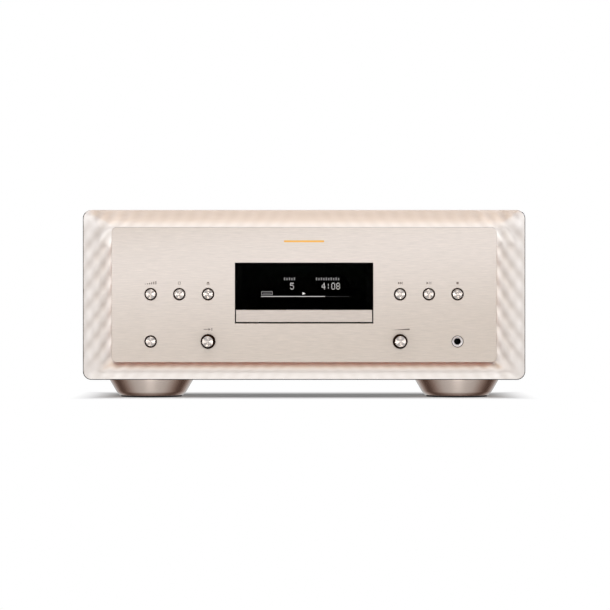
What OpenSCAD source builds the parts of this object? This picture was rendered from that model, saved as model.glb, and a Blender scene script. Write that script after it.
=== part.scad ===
// Full-size disc player with a rippled front panel, a floating front plate and a loading tray.
// X runs to the right, Y runs to the back, Z runs up. The origin is on the floor, under the middle.

/* [Casing] */
// Width of the wave panel, the widest piece
body_w = 440; // [420:1:480]
// Height of the wave panel
body_h = 169; // [160:1:200]
// Depth from the wave panel's face to the back of the rear panel
body_d = 385; // [375:1:430]
// Thickness of the wave panel
wave_t = 16; // [12:0.5:20]
// Corner radius of the wave panel
wave_r = 8.5; // [4:0.5:14]
// Step from the wave panel's outline in to the covers
cover_inset = 1.5; // [1:0.5:4]
// Thickness of the top cover and the side panels
cover_t = 4; // [3.5:0.5:6]
// Radius along the long edges of the top cover
cover_r = 2.5; // [0.5:0.5:3]
// Thickness of the base plate
base_t = 3; // [2:0.5:5]
// Thickness of the rear panel
rear_t = 2; // [1.5:0.5:4]

/* [Feet] */
// Height of the wave panel's lower edge above the floor
foot_h = 19; // [16:0.5:26]
// Radius of a foot at its top
foot_r = 43.5; // [40:0.5:46]
// Radius of a foot above its lower bevel
foot_low_r = 35.5; // [35:0.5:37]
// Height of the straight band at the top of a foot
foot_band = 2; // [1:0.5:4]
// Distance of the front feet's axes from the wave panel's sides
front_foot_in = 63.8; // [52:0.2:72]
// Distance of the rear feet's axes from the wave panel's sides
rear_foot_in = 48; // [46:1:70]
// Depth of the front feet behind the wave panel's face
front_foot_y = 65; // [62:1:72]
// Depth of the rear feet ahead of the rear panel
rear_foot_y = 46; // [44:1:50]
// Outer radius of a foot pad
pad_r = 31; // [24:0.5:31.5]
// Inner radius of a foot pad
pad_bore_r = 12; // [11:0.5:16]
// Thickness of a foot pad
pad_t = 4.4; // [3.5:0.1:5]
// How far a pad stands below the metal
pad_proud = 1.6; // [1:0.1:3.4]
// Radius of a foot bolt
bolt_r = 4; // [3:0.5:5]

/* [Front plate] */
// Margin of the wave panel beside the front plate
margin_side = 29.6; // [20:0.1:34]
// Margin of the wave panel above and below the front plate
margin_edge = 17.7; // [12:0.1:20]
// Thickness of the front plate
plate_t = 8; // [8:0.5:12]
// Corner radius of the front plate
plate_r = 4; // [2:0.5:8]
// Gap between the front plate and the wave panel
plate_gap = 4; // [2:0.5:8]
// Step from the front plate's outline in to its spacer
spacer_inset = 7; // [5:0.5:9]
// Width of the opening for the display and the tray
opening_w = 136.8; // [135:0.1:140]
// Top of that opening above the middle of the plate
opening_up = 31.7; // [28:0.1:36]
// Bottom of that opening below the middle of the plate
opening_down = 28.3; // [26:0.1:30]
// Thickness of the display window
window_t = 2.5; // [2:0.1:3.5]
// Depth of the window behind the plate's face
window_sunk = 0.3; // [0:0.1:1]
// Width of the display module
module_w = 124; // [110:1:130]
// Thickness of the display module
module_t = 6; // [4:0.5:7]
// Border of the window above and below the module
module_edge = 3; // [2:0.5:5]

/* [Controls] */
// Distance of the inner controls from the middle
inner_x = 95; // [92:0.1:98]
// Distance from one control to the next
control_pitch = 28.4; // [26:0.1:31]
// Upper row above the middle of the plate
row_up = 0.6; // [-2:0.1:3]
// Lower row below the middle of the plate
row_down = 46.2; // [43:0.1:48]
// Radius of a button
button_r = 4.85; // [4:0.05:5.5]
// How far a button stands out of the plate
button_proud = 1.2; // [1.1:0.1:2]
// Travel of a button
button_travel = 1; // [0.5:0.1:1]
// Radius of a button's stem
stem_r = 2; // [1.5:0.1:2.5]
// Wall of a guide ring
ring_wall = 0.9; // [0.6:0.1:1.2]
// Depth of a guide ring
ring_depth = 5; // [4:0.1:5.2]
// Radius of a knob
knob_r = 5.85; // [5:0.05:7]
// How far a knob stands out of the plate
knob_proud = 10.5; // [8:0.5:14]
// Chamfer on the face of buttons and knobs
face_chamfer = 0.45; // [0.2:0.05:0.8]
// Radius of a knob's shaft
shaft_r = 3; // [2.5:0.1:3.5]
// Radius of the bushing that carries a shaft
bushing_r = 4.5; // [4.2:0.1:5]
// Side of an encoder's case
encoder_side = 13; // [11:0.5:15]
// Radius of the headphone bore
phones_bore_r = 3.25; // [3.2:0.05:3.4]
// Length of the headphone bore
phones_bore_l = 31; // [28:0.5:34]
// Outer radius of the headphone ring
phones_ring_r = 5.75; // [5.5:0.05:6.5]
// Thickness of the headphone ring
phones_ring_t = 2.5; // [2:0.1:3.5]
// Radius of the headphone socket's barrel
phones_barrel_r = 5; // [4.6:0.1:5.4]
// Gap between the wave panel and the control boards
board_gap = 5.5; // [5.5:0.1:8]
// Thickness of every circuit board
board_t = 1.6; // [1:0.1:2]

/* [Disc tray] */
// Height of the tray door
door_h = 11.9; // [11.5:0.1:14]
// Gap at each side of the tray door
door_side_gap = 1.05; // [0.5:0.05:1.5]
// Gap under the tray door
door_foot_gap = 1.4; // [0.8:0.1:2]
// Thickness of the tray door
door_t = 5; // [4:0.5:7]
// Width of the tray
tray_w = 130; // [128:0.5:132]
// Thickness of the tray
tray_t = 10; // [9.8:0.1:10.5]
// Radius of the disc well
well_r = 60.5; // [60.3:0.1:61.5]
// Depth of the disc well
well_depth = 4.4; // [4.2:0.1:4.8]
// Radius of the inner well for small discs
small_well_r = 40.5; // [40.2:0.1:41]
// Extra depth of the inner well
small_well_depth = 0.8; // [0.5:0.1:1]
// Tray floor between the door and the well
well_land = 4.5; // [3:0.5:8]
// Width of the tray's slot for the spindle and the pickup
slot_w = 42; // [40:1:44]
// How far the open tray clears the front plate
disc_clear = 5; // [2:0.5:8]

/* [Loading drive] */
// Teeth of the loading gear and of the sled gear
gear_teeth = 14; // [14:2:16]
// Module of these gears
gear_m = 1; // [0.9:0.05:1.1]
// Radius of the loading pulley
pulley_r = 12; // [9:0.5:12]
// Radius of the motor pulley
motor_pulley_r = 3; // [2.5:0.1:4]
// Distance from the loading gear to its motor
belt_l = 54; // [48:1:70]
// Thickness of the drive belt
belt_t = 1.2; // [0.8:0.1:1.4]
// Width of the drive belt
belt_w = 1.8; // [1.2:0.1:2.4]
// Radius of the loading motor
motor_r = 12; // [9:0.5:12]

/* [Disc drive] */
// Rise of the traverse
lift = 9; // [8:0.5:9.5]
// Slide of the lift cam over that rise
cam_slide = 24; // [20:1:26]
// Length of the traverse ahead of the spindle
traverse_front = 26; // [25:0.5:28]
// Length of the traverse behind the spindle
traverse_back = 106; // [104:1:110]
// Half width of the traverse
traverse_x = 32; // [30:0.5:33]
// Thickness of the traverse plate
traverse_t = 2; // [1.5:0.1:2.2]
// Radius of a lift pin
lift_pin_r = 1.5; // [1.2:0.1:2]
// Radius of the turntable
turntable_r = 15; // [14:0.5:17]
// Radius of the boss that centres a disc
boss_r = 7.4; // [7.2:0.05:7.45]
// Radius of the clamp puck
puck_r = 18.5; // [16:0.5:19]
// Width of the puck's flange past its body
puck_flange = 3; // [2:0.5:4]
// Radius of the spindle motor
spindle_motor_r = 12; // [10:0.5:12]
// Distance of the guide rods from the middle
rod_x = 22; // [20:0.5:22.5]
// Radius of a guide rod
rod_r = 1.5; // [1.2:0.1:1.8]
// Radius at which the pickup reads first
read_in = 23; // [22.5:0.5:24]
// Radius at which the pickup reads last
read_out = 58; // [56:0.5:59]
// Radius at which the pickup rests
read_rest = 40; // [32:1:48]
// Radius of the pickup lens
lens_r = 3; // [2:0.1:4]

/* [Electronics] */
// Radius of the transformer can
can_r = 55; // [45:1:56]
// Height of the transformer can
can_h = 70; // [50:1:80]
// Radius of a capacitor
cap_r = 14; // [10:0.5:15]
// Height of a capacitor
cap_h = 45; // [30:1:60]
// Width of the side boards
side_board_w = 112; // [100:1:116]
// Height of the boards above the base plate
board_up = 8; // [7:0.5:12]
// Width of a ribbon cable
ribbon_w = 12; // [10:1:12]
// Thickness of a ribbon cable
ribbon_t = 0.8; // [0.6:0.1:1.2]

/* [Rear sockets] */
// How far the round sockets stand out of the rear panel
socket_l = 10; // [9:0.5:14]
// Radius of a round socket's barrel
socket_r = 4.15; // [4.1:0.05:4.3]
// Radius of a round socket's flange
socket_flange_r = 7; // [6:0.5:8]
// Distance between the two sockets of a pair
socket_pitch = 25; // [18:1:30]
// Height of the socket row above the base plate
socket_up = 42; // [30:1:60]
// Width of the mains inlet's cavity
inlet_w = 24.6; // [24:0.1:26]
// Height of the mains inlet's cavity
inlet_h = 16.6; // [16:0.1:18]
// Depth of the mains inlet's cavity
inlet_d = 17; // [15:0.5:18]
// Wall of the mains inlet
inlet_wall = 1.5; // [1:0.1:2.5]

/* [Clearances] */
// Gap between pieces that slide past each other
slide_gap = 0.3; // [0.3:0.05:0.4]
// Radial gap of a shaft that turns in a bore
run_gap = 0.05; // [0.03:0.01:0.08]
// Radial gap of a piece that is fixed in a hole
fit_gap = 0.02; // [0.01:0.01:0.05]

/* [Hidden] */
$fn = 64;
past = 1; // how far a cut runs past the face that it opens

// Casing levels and faces; depth 0 is the wave panel's face
front_proud = plate_gap + plate_t + knob_proud;
front_y = (front_proud - body_d - socket_l) / 2;
under_z = foot_h + cover_inset;
floor_z = under_z + base_t;
top_z = foot_h + body_h;
mid_z = foot_h + body_h / 2;
cover_top_z = top_z - cover_inset;
roof_z = cover_top_z - cover_t;
cover_w = body_w - 2 * cover_inset;
side_x = cover_w / 2 - cover_t;
back_y = body_d - rear_t;
plate_y = -plate_gap - plate_t;
plate_w = body_w - 2 * margin_side;
plate_h = body_h - 2 * margin_edge;

// Feet
front_foot_x = body_w / 2 - front_foot_in;
rear_foot_x = body_w / 2 - rear_foot_in;
foot_places = [
    [-front_foot_x, front_foot_y],
    [front_foot_x, front_foot_y],
    [-rear_foot_x, body_d - rear_foot_y],
    [rear_foot_x, body_d - rear_foot_y]
];
foot_bevel = 3;
bolt_head_r = bolt_r + 2.5;
bolt_pocket_r = bolt_head_r + 1;
bolt_head_h = bolt_r + 1;
bolt_seat_z = foot_h / 2;
nut_h = bolt_r + 2;
nut_r = bolt_r + 3;

// Screws of the casing
screw_r = 1;
screw_head_r = 1.9;
screw_head_h = 1.8;
screw_l = 9;
screw_edge = 14;
screw_zs = [floor_z + screw_edge, mid_z, roof_z - screw_edge];
screw_xs = [-side_x + screw_edge, 0, side_x - screw_edge];
screw_places = concat(
    [for (side = [-1, 1], z = screw_zs) [side * (side_x + cover_t / 2), z]],
    [for (x = screw_xs) [x, roof_z + cover_t / 2]]
);

// Control places: x and z of each control on the front plate
outer_x = inner_x + 2 * control_pitch;
row1_z = mid_z + row_up;
row2_z = mid_z - row_down;
dimmer_at = [-outer_x, row1_z];
layer_at = [-inner_x - control_pitch, row1_z];
eject_at = [-inner_x, row1_z];
skip_at = [inner_x, row1_z];
play_at = [inner_x + control_pitch, row1_z];
stop_at = [outer_x, row1_z];
power_at = [-outer_x, row2_z];
input_at = [-inner_x, row2_z];
level_at = [inner_x, row2_z];
phones_at = [outer_x, row2_z];
button_places = [dimmer_at, layer_at, eject_at, skip_at, play_at, stop_at, power_at];
knob_places = [input_at, level_at];

// Buttons, knobs and what they act on
ring_bore_r = button_r + slide_gap;
ring_r = ring_bore_r + ring_wall;
knob_bore_r = knob_r + slide_gap;
knob_ring_r = knob_bore_r + ring_wall;
button_flange_r = ring_r - slide_gap;
button_flange_t = 1;
stem_hole_r = stem_r + slide_gap;
board_y = wave_t + board_gap;
switch_side = 2 * stem_hole_r + 2;
switch_h = 3.5;
stem_in = 0.6;
switch_bore = stem_in + button_travel + 0.6;
switch_y = board_y - switch_h;
knob_sunk = ring_depth;
knob_l = knob_proud + knob_sunk;
knob_bore = 9;
shaft_y = plate_y + knob_sunk - knob_bore;
bushing_l = wave_t - 4;
shaft_in = board_gap - 1.5;
board_edge = 16;
standoff_r = 3;
standoff_in = 5;
socket_case = 2 * phones_barrel_r + 4;
socket_back = 3;
socket_y = plate_y + phones_ring_t;
socket_end = socket_y + phones_bore_l + socket_back;
phones_rim = 0.7;

// Tray and its opening
opening_z = mid_z - opening_down;
opening_top_z = mid_z + opening_up;
door_w = opening_w - 2 * door_side_gap;
door_z = opening_z + door_foot_gap;
door_top_z = door_z + door_h;
window_z = door_top_z + slide_gap;
window_y = plate_y + window_sunk;
module_y = window_y + window_t;
tray_y = plate_y + door_t;
tray_z = door_z + (door_h - tray_t) / 2 - slide_gap;
tray_top_z = tray_z + tray_t;
well_z = tray_top_z - well_depth;
spindle_y = tray_y + well_land + well_r;
tray_travel = spindle_y + well_r - plate_y + disc_clear;

// Gear teeth: short involute teeth, cut for a rack
pressure = 20;
backlash = 0.2;
pitch = PI * gear_m;
pitch_r = gear_m * gear_teeth / 2;
base_r = pitch_r * cos(pressure);
tooth_out = 0.8 * gear_m;
tooth_in = 1.05 * gear_m;
tip_r = pitch_r + tooth_out;
root_r = pitch_r - tooth_in;
half_tooth = (pitch / 2 - backlash) / 2;

// Loading drive
pulley_gap = 3;
pulley_edge = 2;
gear_y = wave_t + pulley_gap + pulley_r + pulley_edge;
rack_in = 21;
rack_x = -tray_w / 2 + rack_in;
gear_x = rack_x - pitch_r;
gear_t = 3.2;
gear_z = tray_z + slide_gap;
groove_depth = gear_t + 2 * slide_gap;
groove_side = 0.7;
groove_end = 2;
groove_x = gear_x - tip_r - groove_side;
groove_y = gear_y - tip_r - groove_end;
tray_tail = 14;
tray_back = gear_y + tray_travel + tray_tail;
rack_teeth = ceil((tray_travel + 4 * pitch) / pitch);
pulley_t = 3;
pulley_drop = 10;
pulley_z = tray_z - pulley_drop;
gear_hub_r = root_r - 1;
gear_pin_r = 2;
gear_post_r = gear_pin_r + 1.5;
motor_y = gear_y + belt_l;
motor_shaft_r = 1;
motor_shaft_l = 10;
belt_z = pulley_z + (pulley_t - belt_w) / 2;

// Disc drive, in its lowered place
disc_t = 1.2;
seat_drop = 2.6;
seat_up_z = tray_top_z - seat_drop;
seat_z = seat_up_z - lift;
traverse_y = spindle_y - traverse_front;
traverse_end = spindle_y + traverse_back;
tray_clear = 0.8;
traverse_top_z = tray_z - tray_clear - lift;
traverse_z = traverse_top_z - traverse_t;
turntable_t = 4;
boss_h = 2;
boss_chamfer = 1;
spindle_r = 1.5;
spindle_hole_r = spindle_r + 1;
spindle_motor_h = 8;
spindle_motor_back = 1;
spindle_z = traverse_z - spindle_motor_h + spindle_motor_back;
rod_drop = 4;
rod_clear = 0.4;
rod_short = 6;
rod_z = traverse_z - rod_drop;
rod_y = spindle_y + spindle_motor_r + rod_clear;
rod_end = traverse_end - rod_short;
lug_t = 2.2;
lug_wall = 1.3;
lug_x = rod_r + lug_wall;
lens_y = spindle_y + read_rest;
lens_h = 1.5;
lens_clear = 1.5;
lens_z = seat_z - lens_clear - lens_h;
sled_side = 3.5;
sled_x = rod_x + sled_side;
sled_front = 7.5;
sled_back = 22;
sled_drop = 7.5;
sled_clear = 0.6;
sled_z = traverse_z - sled_drop;
sled_top_z = traverse_z - sled_clear;
head_x = 14;
head_back = 10;
window_gap = 1;
sled_rack_out = 2.1;
sled_rack_x = sled_x + sled_rack_out;
sled_gear_x = sled_rack_x + pitch_r;
sled_gear_back = 10;
sled_gear_y = lens_y + sled_gear_back;
sled_gear_t = 4;
sled_gear_drop = 6.3;
sled_gear_z = traverse_z - sled_gear_drop;
sled_teeth_front = ceil((read_out - read_rest) / pitch) + 1;
sled_teeth_back = ceil((read_rest - read_in) / pitch) + 1;
sled_rack_y = sled_gear_y - (sled_teeth_front + 0.5) * pitch;
sled_rack_teeth = sled_teeth_front + sled_teeth_back + 2;
sled_motor_r = 8;
sled_motor_drop = 16.2;
sled_motor_z = traverse_z - sled_motor_drop;
sled_motor_back = 2;
sled_flange_t = 1.5;
sled_flange_clear = 0.4;
sled_flange_top = sled_gear_z - sled_flange_clear;
tab_out = 13.4;
tab_x = sled_gear_x + tab_out;
tab_y = 15;
tab_post_r = 2;
tab_post_in = 2.5;
frame_drop = 19;
frame_z = traverse_z - frame_drop;
frame_t = 3;
wall_x = tray_w / 2 + slide_gap;
wall_t = 4;
bridge_up = 5;
wall_top_z = tray_top_z + bridge_up;
ledge_w = 5;
lip_w = 3;
rail_t = 2.5;
frame_y = wave_t;
frame_past = 3;
frame_end = tray_back + frame_past;
leg_r = 5;
leg_in = 10;
cross_t = 2.5;
cross_gap = 6;
lift_pin_pitch = 26;
lift_pins = [0, lift_pin_pitch];
lift_pin_past = 2;
lift_pin_l = cross_gap + lift_pin_past;
lift_pin_drop = 5.5;
lift_pin_z = traverse_z - lift_pin_drop;
lift_flange_t = 2;
lift_flange_side = 6;
lift_flange_below = 3.5;
lift_flange_z = lift_pin_z - lift_flange_below;
lift_slot_r = lift_pin_r + slide_gap;
cam_t = 2;
cam_gap = 2.5;
cam_up = 0.4;
cam_z = frame_z + cam_up;
cam_base_t = 1.5;
cam_end = 5;
cam_head = 4;
cam_x = -cam_slide - cam_end;
cam_end_x = lift_pins[1] + cam_end;
cam_top_z = lift_pin_z + lift + cam_head;
bridge_t = 2;
bridge_y = 26;
puck_clear = 0.8;
bridge_bore_r = puck_r + puck_clear;
puck_z = seat_up_z + disc_t + slide_gap;
puck_rest = 0.2;
puck_flange_z = wall_top_z + bridge_t + puck_rest;
puck_flange_t = 3;
boss_clear = 1;
puck_bore_r = boss_r + boss_clear;
puck_bore = boss_h + boss_clear / 2;

// Power supply and boards
can_side = 15;
can_front = 20;
can_at = [-side_x + can_side + can_r, front_foot_y + can_r + can_front];
board_z = floor_z + board_up;
board_side = 8;
side_board_x = side_x - side_board_w - board_side;
behind_can = 6;
power_board_y = can_at[1] + can_r + behind_can;
power_board_d = 118;
cap_gap_x = 6;
cap_gap_y = 4;
signal_board_y = 58;
socket_room = 12;
signal_board_end = back_y - socket_room;
between_boards = 10.5;
middle_board_x = side_board_x - between_boards;
behind_tray = 25;
middle_board_y = tray_back + behind_tray;
stud_r = 3.5;
stud_in = 7;
ribbon_x = inner_x + control_pitch;
ribbon_on = 10;
lead_on = 25;
link_in = 20;
link_y = middle_board_y + link_in;

// Rear sockets
socket_z = floor_z + socket_up;
socket_body_r = 5;
socket_body_l = 10;
socket_flange_t = 2;
socket_pin_r = 1.65;
first_socket_in = 20;
round_socket_x = side_board_x + first_socket_in;
round_socket_xs = [for (i = [0 : 3]) round_socket_x + i * socket_pitch];
square_socket_xs = [-socket_pitch / 2, socket_pitch / 2];
square_socket = 11;
square_flange = 14;
square_flange_t = 1.5;
inlet_side = 45;
inlet_x = -side_x + inlet_side;
inlet_out_w = inlet_w + 2 * inlet_wall;
inlet_out_h = inlet_h + 2 * inlet_wall;
inlet_flange = 3;
inlet_flange_t = 2;
inlet_back = 6;
inlet_end = body_d - inlet_d - inlet_back;
blade = [2, 14, 4];
blade_places = [[-7, -2], [7, -2], [0, 2.4]];

// Shapes used by several pieces

// Rectangle with round corners, about its middle
module rounded_rect(w, h, r) {
    square([w - 2 * r, h], center = true);
    square([w, h - 2 * r], center = true);
    for (x = [-1, 1], y = [-1, 1])
        translate([x * (w / 2 - r), y * (h / 2 - r)]) circle(r);
}

// An outline in X and Z, drawn out along Y
module upright(y, t)
    translate([0, y + t, 0]) rotate([90, 0, 0]) linear_extrude(t) children();

// A block from one corner to the other
module block(from, to)
    translate(from) cube(to - from);

// A round bar along Y
module bar_y(x, y, z, r, l)
    translate([x, y, z]) rotate([-90, 0, 0]) cylinder(r = r, h = l);

// A round bar along Z
module bar_z(x, y, z, r, l)
    translate([x, y, z]) cylinder(r = r, h = l);

// A turned piece about an axis along Y; each point is a radius and a depth
module turned_y(at, y, points)
    translate([at[0], y, at[1]]) rotate([-90, 0, 0]) rotate_extrude() polygon(points);

// A turned piece about an axis along Z; each point is a radius and a height
module turned_z(at, points)
    translate([at[0], at[1], 0]) rotate_extrude() polygon(points);

// Moves depths, counted from the wave panel's face, into the part's own frame
module in_frame()
    translate([0, front_y, 0]) children();

// Involute angle at a radius, in degrees
function involute(r) = let (a = acos(base_r / r)) tan(a) * 180 / PI - a;
// Half the angle of a tooth at a radius
function tooth_angle(r) = half_tooth / pitch_r * 180 / PI + involute(pitch_r) - involute(max(r, base_r));
function polar(r, a) = [r * cos(a), r * sin(a)];
tooth_radii = [root_r, base_r, (base_r + pitch_r) / 2, pitch_r, (pitch_r + tip_r) / 2, tip_r];
// One gear tooth, up its first flank and down its second
function tooth(a) = concat(
    [for (r = tooth_radii) polar(r, a - tooth_angle(r))],
    [for (i = [len(tooth_radii) - 1 : -1 : 0]) polar(tooth_radii[i], a + tooth_angle(tooth_radii[i]))]
);
module gear_outline()
    polygon([for (i = [0 : gear_teeth - 1], p = tooth(360 * i / gear_teeth)) p]);

// Teeth of a rack that face +X, as points along Y; the first tooth's middle is at y
function rack_tooth(x, y) = [
    [x - tooth_in, y - half_tooth - tooth_in * tan(pressure)],
    [x + tooth_out, y - half_tooth + tooth_out * tan(pressure)],
    [x + tooth_out, y + half_tooth - tooth_out * tan(pressure)],
    [x - tooth_in, y + half_tooth + tooth_in * tan(pressure)]
];
function rack_line(x, y, count) = [for (i = [0 : count - 1], p = rack_tooth(x, y + i * pitch)) p];

// Casing

module base_plate()
    color("#8f8c88") in_frame() difference() {
        union() {
            block([-cover_w / 2, wave_t, under_z], [cover_w / 2, back_y, floor_z]);
            for (p = concat(board_studs(side_board_x, signal_board_y, side_board_w, signal_board_end),
                            board_studs(-side_board_x - side_board_w, power_board_y, side_board_w,
                                        power_board_y + power_board_d),
                            board_studs(-middle_board_x, middle_board_y, 2 * middle_board_x,
                                        signal_board_end)))
                bar_z(p[0], p[1], floor_z - past, stud_r, board_up + past);
        }
        for (p = foot_places)
            bar_z(p[0], p[1], under_z - past, bolt_r + fit_gap, base_t + 2 * past);
    }

// Holes for the screws that come in from the back
module screw_holes()
    for (p = screw_places)
        bar_y(p[0], body_d - screw_l, p[1], screw_r + fit_gap, screw_l + past);

// Places of the four studs under a board
function board_studs(x, y, w, y_end) = [
    [x + stud_in, y + stud_in],
    [x + w - stud_in, y + stud_in],
    [x + stud_in, y_end - stud_in],
    [x + w - stud_in, y_end - stud_in]
];

module wave_panel()
    color("#d9cfc6") in_frame() difference() {
        upright(0, wave_t)
            translate([0, mid_z]) rounded_rect(body_w, body_h, wave_r);
        block([-opening_w / 2, -past, opening_z], [opening_w / 2, wave_t + past, window_z]);
        block([-module_w / 4, -past, mid_z], [module_w / 4, wave_t + past, mid_z + 2 * module_edge]);
        for (p = button_places)
            bar_y(p[0], -past, p[1], stem_hole_r, wave_t + 2 * past);
        for (p = knob_places)
            bar_y(p[0], -past, p[1], bushing_r + fit_gap, wave_t + 2 * past);
        bar_y(phones_at[0], -past, phones_at[1], phones_barrel_r + fit_gap, wave_t + 2 * past);
    }

module plate_spacer()
    color("#6e6660") in_frame() difference() {
        upright(-plate_gap, plate_gap)
            translate([0, mid_z])
                rounded_rect(plate_w - 2 * spacer_inset, plate_h - 2 * spacer_inset, plate_r);
        opening(-plate_gap, plate_gap);
        for (p = button_places)
            bar_y(p[0], -plate_gap - past, p[1], stem_hole_r, plate_gap + 2 * past);
        for (p = knob_places)
            bar_y(p[0], -plate_gap - past, p[1], bushing_r + fit_gap, plate_gap + 2 * past);
        bar_y(phones_at[0], -plate_gap - past, phones_at[1], phones_barrel_r + fit_gap,
              plate_gap + 2 * past);
    }

// The opening for the display and the tray, cut through a panel
module opening(y, t)
    block([-opening_w / 2, y - past, opening_z], [opening_w / 2, y + t + past, opening_top_z]);

module front_plate()
    color("#dccfc6") in_frame() difference() {
        upright(plate_y, plate_t)
            translate([0, mid_z]) rounded_rect(plate_w, plate_h, plate_r);
        opening(plate_y, plate_t);
        for (p = button_places)
            bar_y(p[0], plate_y - past, p[1], ring_r + fit_gap, plate_t + 2 * past);
        for (p = knob_places)
            bar_y(p[0], plate_y - past, p[1], knob_ring_r + fit_gap, plate_t + 2 * past);
        bar_y(phones_at[0], plate_y - past, phones_at[1], phones_ring_r + fit_gap, plate_t + 2 * past);
    }

module side_panel(side)
    color("#d5cac1") in_frame() difference() {
        block([side > 0 ? side_x : -cover_w / 2, wave_t, floor_z],
              [side > 0 ? cover_w / 2 : -side_x, back_y, roof_z]);
        screw_holes();
    }

module left_side_panel() side_panel(-1);

module right_side_panel() side_panel(1);

module top_cover()
    color("#d5cac1") in_frame() difference() {
        upright(wave_t, back_y - wave_t) intersection() {
            translate([-cover_w / 2, roof_z]) square([cover_w, cover_t]);
            translate([0, roof_z]) rounded_rect(cover_w, 2 * cover_t, cover_r);
        }
        screw_holes();
    }

module rear_panel()
    color("#3b3836") in_frame() difference() {
        upright(back_y, rear_t)
            translate([-cover_w / 2, under_z]) square([cover_w, cover_top_z - under_z]);
        screw_holes();
        for (x = round_socket_xs)
            bar_y(x, back_y - past, socket_z, socket_body_r + fit_gap, rear_t + 2 * past);
        for (x = square_socket_xs)
            block([x - square_socket / 2, back_y - past, socket_z - square_socket / 2],
                  [x + square_socket / 2, body_d + past, socket_z + square_socket / 2]);
        block([inlet_x - inlet_out_w / 2, back_y - past, socket_z - inlet_out_h / 2],
              [inlet_x + inlet_out_w / 2, body_d + past, socket_z + inlet_out_h / 2]);
    }

// One foot: a turned cone with a pocket for its pad and a seat for its bolt
module foot(at)
    color("#c3b5ab") in_frame() turned_z(at, [
        [bolt_r + fit_gap, bolt_seat_z],
        [bolt_pocket_r, bolt_seat_z],
        [bolt_pocket_r, pad_t],
        [pad_r + fit_gap, pad_t],
        [pad_r + fit_gap, pad_proud],
        [foot_low_r - foot_bevel, pad_proud],
        [foot_low_r, pad_proud + foot_bevel],
        [foot_r, under_z - foot_band],
        [foot_r, under_z],
        [bolt_r + fit_gap, under_z]
    ]);

module front_left_foot() foot(foot_places[0]);

module front_right_foot() foot(foot_places[1]);

module rear_left_foot() foot(foot_places[2]);

module rear_right_foot() foot(foot_places[3]);

module foot_pads()
    color("#2b2726") in_frame() for (p = foot_places)
        turned_z(p, [[pad_bore_r, 0], [pad_r, 0], [pad_r, pad_t], [pad_bore_r, pad_t]]);

module foot_bolts()
    color("#9a9a9a") in_frame() for (p = foot_places) {
        turned_z(p, [
            [0, bolt_seat_z - bolt_head_h],
            [bolt_head_r, bolt_seat_z - bolt_head_h],
            [bolt_head_r, bolt_seat_z],
            [bolt_r, bolt_seat_z],
            [bolt_r, floor_z + nut_h],
            [0, floor_z + nut_h]
        ]);
        translate([p[0], p[1], floor_z]) cylinder(r = nut_r, h = nut_h, $fn = 6);
    }

module casing_screws()
    color("#4a4644") in_frame() for (p = screw_places)
        turned_y(p, body_d - screw_l, [
            [0, 0],
            [screw_r, 0],
            [screw_r, screw_l],
            [screw_head_r, screw_l],
            [screw_head_r, screw_l + screw_head_h],
            [0, screw_l + screw_head_h]
        ]);

// Display and controls

module display_window()
    color("#0b0b0c") in_frame()
        block([-opening_w / 2, window_y, window_z], [opening_w / 2, window_y + window_t, opening_top_z]);

module display_module()
    color("#1c1f1d") in_frame()
        block([-module_w / 2, module_y, window_z + module_edge],
              [module_w / 2, module_y + module_t, opening_top_z - module_edge]);

// A push button: cap, retaining flange behind its guide ring, and a stem that reaches its switch
module push_button(at) {
    cap_l = button_proud + ring_depth + slide_gap;
    stem_l = switch_y + stem_in - plate_y + button_proud;
    color("#e2d8d0") in_frame() turned_y(at, plate_y - button_proud, [
        [0, 0],
        [button_r - face_chamfer, 0],
        [button_r, face_chamfer],
        [button_r, cap_l],
        [button_flange_r, cap_l],
        [button_flange_r, cap_l + button_flange_t],
        [stem_r, cap_l + button_flange_t],
        [stem_r, stem_l],
        [0, stem_l]
    ]);
}

module power_button() push_button(power_at);

module dimmer_button() push_button(dimmer_at);

module layer_button() push_button(layer_at);

module eject_button() push_button(eject_at);

module skip_button() push_button(skip_at);

module play_button() push_button(play_at);

module stop_button() push_button(stop_at);

// A guide ring, level with the face of the front plate
module guide_ring(at, r, bore_r)
    color("#3a2f29") in_frame()
        turned_y(at, plate_y, [[bore_r, 0], [r, 0], [r, ring_depth], [bore_r, ring_depth]]);

module button_rings()
    for (p = button_places) guide_ring(p, ring_r, ring_bore_r);

module knob_rings()
    for (p = knob_places) guide_ring(p, knob_ring_r, knob_bore_r);

module knob(at)
    color("#e2d8d0") in_frame() turned_y(at, plate_y - knob_proud, [
        [0, 0],
        [knob_r - face_chamfer, 0],
        [knob_r, face_chamfer],
        [knob_r, knob_l],
        [shaft_r + fit_gap, knob_l],
        [shaft_r + fit_gap, knob_l - knob_bore],
        [0, knob_l - knob_bore]
    ]);

module input_knob() knob(input_at);

module level_knob() knob(level_at);

module knob_shaft(at)
    color("#b5b5b5") in_frame() bar_y(at[0], shaft_y, at[1], shaft_r, wave_t + shaft_in - shaft_y);

module input_shaft() knob_shaft(input_at);

module level_shaft() knob_shaft(level_at);

// The case and bushing that carry a knob's shaft
module shaft_carrier(at)
    color("#5d625f") in_frame() difference() {
        union() {
            block([at[0] - encoder_side / 2, wave_t, at[1] - encoder_side / 2],
                  [at[0] + encoder_side / 2, board_y, at[1] + encoder_side / 2]);
            bar_y(at[0], wave_t - bushing_l, at[1], bushing_r, bushing_l + past);
        }
        bar_y(at[0], wave_t - bushing_l - past, at[1], shaft_r + run_gap,
              bushing_l + past + shaft_in + slide_gap);
    }

module input_encoder() shaft_carrier(input_at);

module level_control() shaft_carrier(level_at);

module phones_ring()
    color("#e6e0da") in_frame() turned_y(phones_at, plate_y, [
        [phones_ring_r - phones_rim, 0],
        [phones_ring_r, 0],
        [phones_ring_r, phones_ring_t],
        [phones_bore_r, phones_ring_t]
    ]);

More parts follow.
